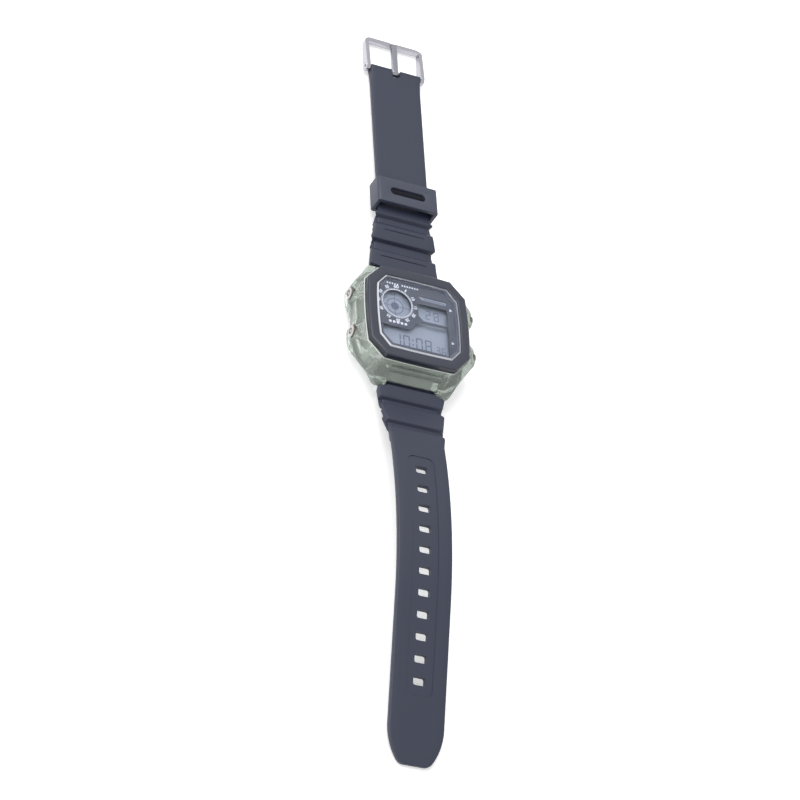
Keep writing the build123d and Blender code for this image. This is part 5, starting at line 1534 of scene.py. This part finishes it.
def build_floor(stage):
    """Pale floor that the watch lies on and that keeps its shadow."""
    work = bmesh.new()
    bmesh.ops.create_grid(work, x_segments=1, y_segments=1, size=FLOOR_HALF)
    mesh = mesh_from(work, "floor")
    mesh.transform(Matrix.Translation((0, 0, -stage.floor_drop)) @ Matrix.Rotation(stage.floor_tilt, 4, "X"))
    mesh.materials.append(floor_paper(stage))
    linked("floor", mesh)


def build_sky(stage):
    """Even light all round, white where it is seen directly."""
    world = bpy.data.worlds.new("studio")
    bpy.context.scene.world = world
    world.use_nodes = True
    tree = world.node_tree
    tree.nodes.clear()
    strength = node(tree, "ShaderNodeMapRange", {"To Min": stage.sky_strength, "To Max": 1.0})
    glow = node(tree, "ShaderNodeBackground", {"Color": WHITE})
    out = node(tree, "ShaderNodeOutputWorld")
    chain(tree, (seen_directly(tree), 0, strength, "Value"), (strength, "Result", glow, "Strength"),
          (glow, 0, out, 0))


def build_stage():
    """Camera, floor, two lamps and sky."""
    stage = settings().stage
    build_camera()
    build_floor(stage)
    lamp("overhead", OVERHEAD_PLACE, OVERHEAD_SIZE, stage.key_power)
    lamp("left", LEFT_PLACE, LEFT_SIZE, stage.side_power)
    build_sky(stage)
    bpy.context.scene.view_settings.view_transform = "Standard"


def floor_paper(stage):
    """White paper: faintly mottled, lifted to white where it is seen directly."""
    made = bpy.data.materials.new("Floor paper")
    made.use_nodes = True
    tree = made.node_tree
    tree.nodes.clear()
    effect = node(tree, "ShaderNodeGroup", {"Colour": rgba(stage.floor_colour), "Mottle": 0.01},
                  node_tree=grain_group())
    matt = node(tree, "ShaderNodeBsdfDiffuse")
    glow = node(tree, "ShaderNodeEmission", {"Color": WHITE})
    strength = node(tree, "ShaderNodeMath", {1: FLOOR_GLOW}, operation="MULTIPLY")
    both = node(tree, "ShaderNodeAddShader")
    out = node(tree, "ShaderNodeOutputMaterial")
    chain(tree, (effect, "Colour", matt, "Color"), (seen_directly(tree), 0, strength, 0),
          (strength, 0, glow, "Strength"), (matt, 0, both, 0), (glow, 0, both, 1), (both, 0, out, 0))
    return made


def lamp(name, place, size, power):
    """Rectangular lamp that looks at the middle of the watch."""
    data = bpy.data.lights.new(name, "AREA")
    data.shape = "RECTANGLE"
    data.size, data.size_y = size
    data.energy = power
    made = linked(name, data)
    made.location = place
    made.rotation_euler = (-place).to_track_quat("-Z", "Y").to_euler()


# Operators and panel

class WATCH_OT_stage(bpy.types.Operator):
    """Adds the floor, the lamps, the sky and the camera"""
    bl_idname = "watch.stage"
    bl_label = "Stage"

    def execute(self, context):
        build_stage()
        return {"FINISHED"}


class WATCH_OT_node_finishes(bpy.types.Operator):
    """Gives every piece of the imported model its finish"""
    bl_idname = "watch.node_finishes"
    bl_label = "Finishes of the packed pieces"

    def execute(self, context):
        build_node_finishes()
        return {"FINISHED"}


class WATCH_OT_tip_strap(bpy.types.Operator):
    """Moulds the strap half with the row of holes"""
    bl_idname = "watch.tip_strap"
    bl_label = "Strap half with holes"

    def execute(self, context):
        build_tip_strap()
        return {"FINISHED"}


class WATCH_OT_buckle_strap(bpy.types.Operator):
    """Moulds the strap half that carries the buckle"""
    bl_idname = "watch.buckle_strap"
    bl_label = "Strap half with buckle"

    def execute(self, context):
        build_buckle_strap()
        return {"FINISHED"}


class WATCH_OT_keeper(bpy.types.Operator):
    """Moulds the loop that holds the strap's free end"""
    bl_idname = "watch.keeper"
    bl_label = "Keeper"

    def execute(self, context):
        build_keeper()
        return {"FINISHED"}


class WATCH_OT_case(bpy.types.Operator):
    """Softens the edges of the clear case and the bezel"""
    bl_idname = "watch.case"
    bl_label = "Case and bezel"

    def execute(self, context):
        build_case()
        return {"FINISHED"}


class WATCH_OT_bead(bpy.types.Operator):
    """Runs a bead round the bezel's foot, painted pale as a highlight"""
    bl_idname = "watch.bead"
    bl_label = "Bead round the bezel"

    def execute(self, context):
        build_bead()
        return {"FINISHED"}


class WATCH_OT_glass(bpy.types.Operator):
    """Finishes the glass, its edge painted as a highlight and its seal"""
    bl_idname = "watch.glass"
    bl_label = "Glass"

    def execute(self, context):
        build_glass()
        return {"FINISHED"}


class WATCH_OT_numerals(bpy.types.Operator):
    """Prints the numbers round the small dial"""
    bl_idname = "watch.numerals"
    bl_label = "Numbers"

    def execute(self, context):
        build_numerals()
        return {"FINISHED"}


class WATCH_OT_prints(bpy.types.Operator):
    """Prints the ring of ticks and the plain marks of the mask"""
    bl_idname = "watch.prints"
    bl_label = "Ticks and marks"

    def execute(self, context):
        build_prints()
        return {"FINISHED"}


class WATCH_OT_strip(bpy.types.Operator):
    """Lays the pale strip behind the slanted window"""
    bl_idname = "watch.strip"
    bl_label = "Strip over the date"

    def execute(self, context):
        build_strip()
        return {"FINISHED"}


class WATCH_OT_springs(bpy.types.Operator):
    """Makes the springs behind the buttons and in the pins"""
    bl_idname = "watch.springs"
    bl_label = "Springs"

    def execute(self, context):
        build_springs()
        return {"FINISHED"}


class WATCH_OT_buttons(bpy.types.Operator):
    """Rounds the four push buttons and paints rings of shade and reflection on them"""
    bl_idname = "watch.buttons"
    bl_label = "Buttons"

    def execute(self, context):
        build_buttons()
        return {"FINISHED"}


class WATCH_OT_buckle(bpy.types.Operator):
    """Polishes the buckle and its tongue"""
    bl_idname = "watch.buckle"
    bl_label = "Buckle and tongue"

    def execute(self, context):
        build_buckle()
        return {"FINISHED"}


STEPS = [WATCH_OT_stage, WATCH_OT_node_finishes, WATCH_OT_tip_strap, WATCH_OT_buckle_strap,
         WATCH_OT_keeper, WATCH_OT_case, WATCH_OT_bead, WATCH_OT_glass, WATCH_OT_numerals,
         WATCH_OT_prints, WATCH_OT_strip, WATCH_OT_springs, WATCH_OT_buttons, WATCH_OT_buckle]


class WATCH_PT_panel(bpy.types.Panel):
    """Sizes, colours and building steps of the watch"""
    bl_idname = "WATCH_PT_panel"
    bl_label = "Digital watch"
    bl_space_type = "VIEW_3D"
    bl_region_type = "UI"
    bl_category = "Watch"

    def draw(self, context):
        watch = context.scene.watch
        for name in ("stage", "strap", "case", "dial", "metal"):
            group = getattr(watch, name)
            box = self.layout.box()
            box.label(text=name.capitalize())
            for key in group.__annotations__:
                box.prop(group, key)
        for step in STEPS:
            self.layout.operator(step.bl_idname)


CLASSES = [StageSettings, StrapSettings, CaseSettings, DialSettings, MetalSettings, WatchSettings,
           *STEPS, WATCH_PT_panel]


def register():
    """Makes the settings, operators and panel known."""
    for item in CLASSES:
        bpy.utils.register_class(item)
    bpy.types.Scene.watch = PointerProperty(type=WatchSettings)


def unregister():
    """Takes the settings, operators and panel away."""
    del bpy.types.Scene.watch
    for item in reversed(CLASSES):
        bpy.utils.unregister_class(item)


def main():
    """Builds every piece."""
    register()
    bpy.ops.watch.stage()
    bpy.ops.watch.node_finishes()
    bpy.ops.watch.tip_strap()
    bpy.ops.watch.buckle_strap()
    bpy.ops.watch.keeper()
    bpy.ops.watch.case()
    bpy.ops.watch.bead()
    bpy.ops.watch.glass()
    bpy.ops.watch.numerals()
    bpy.ops.watch.prints()
    bpy.ops.watch.strip()
    bpy.ops.watch.springs()
    bpy.ops.watch.buttons()
    bpy.ops.watch.buckle()


if __name__ == "__main__":
    main()
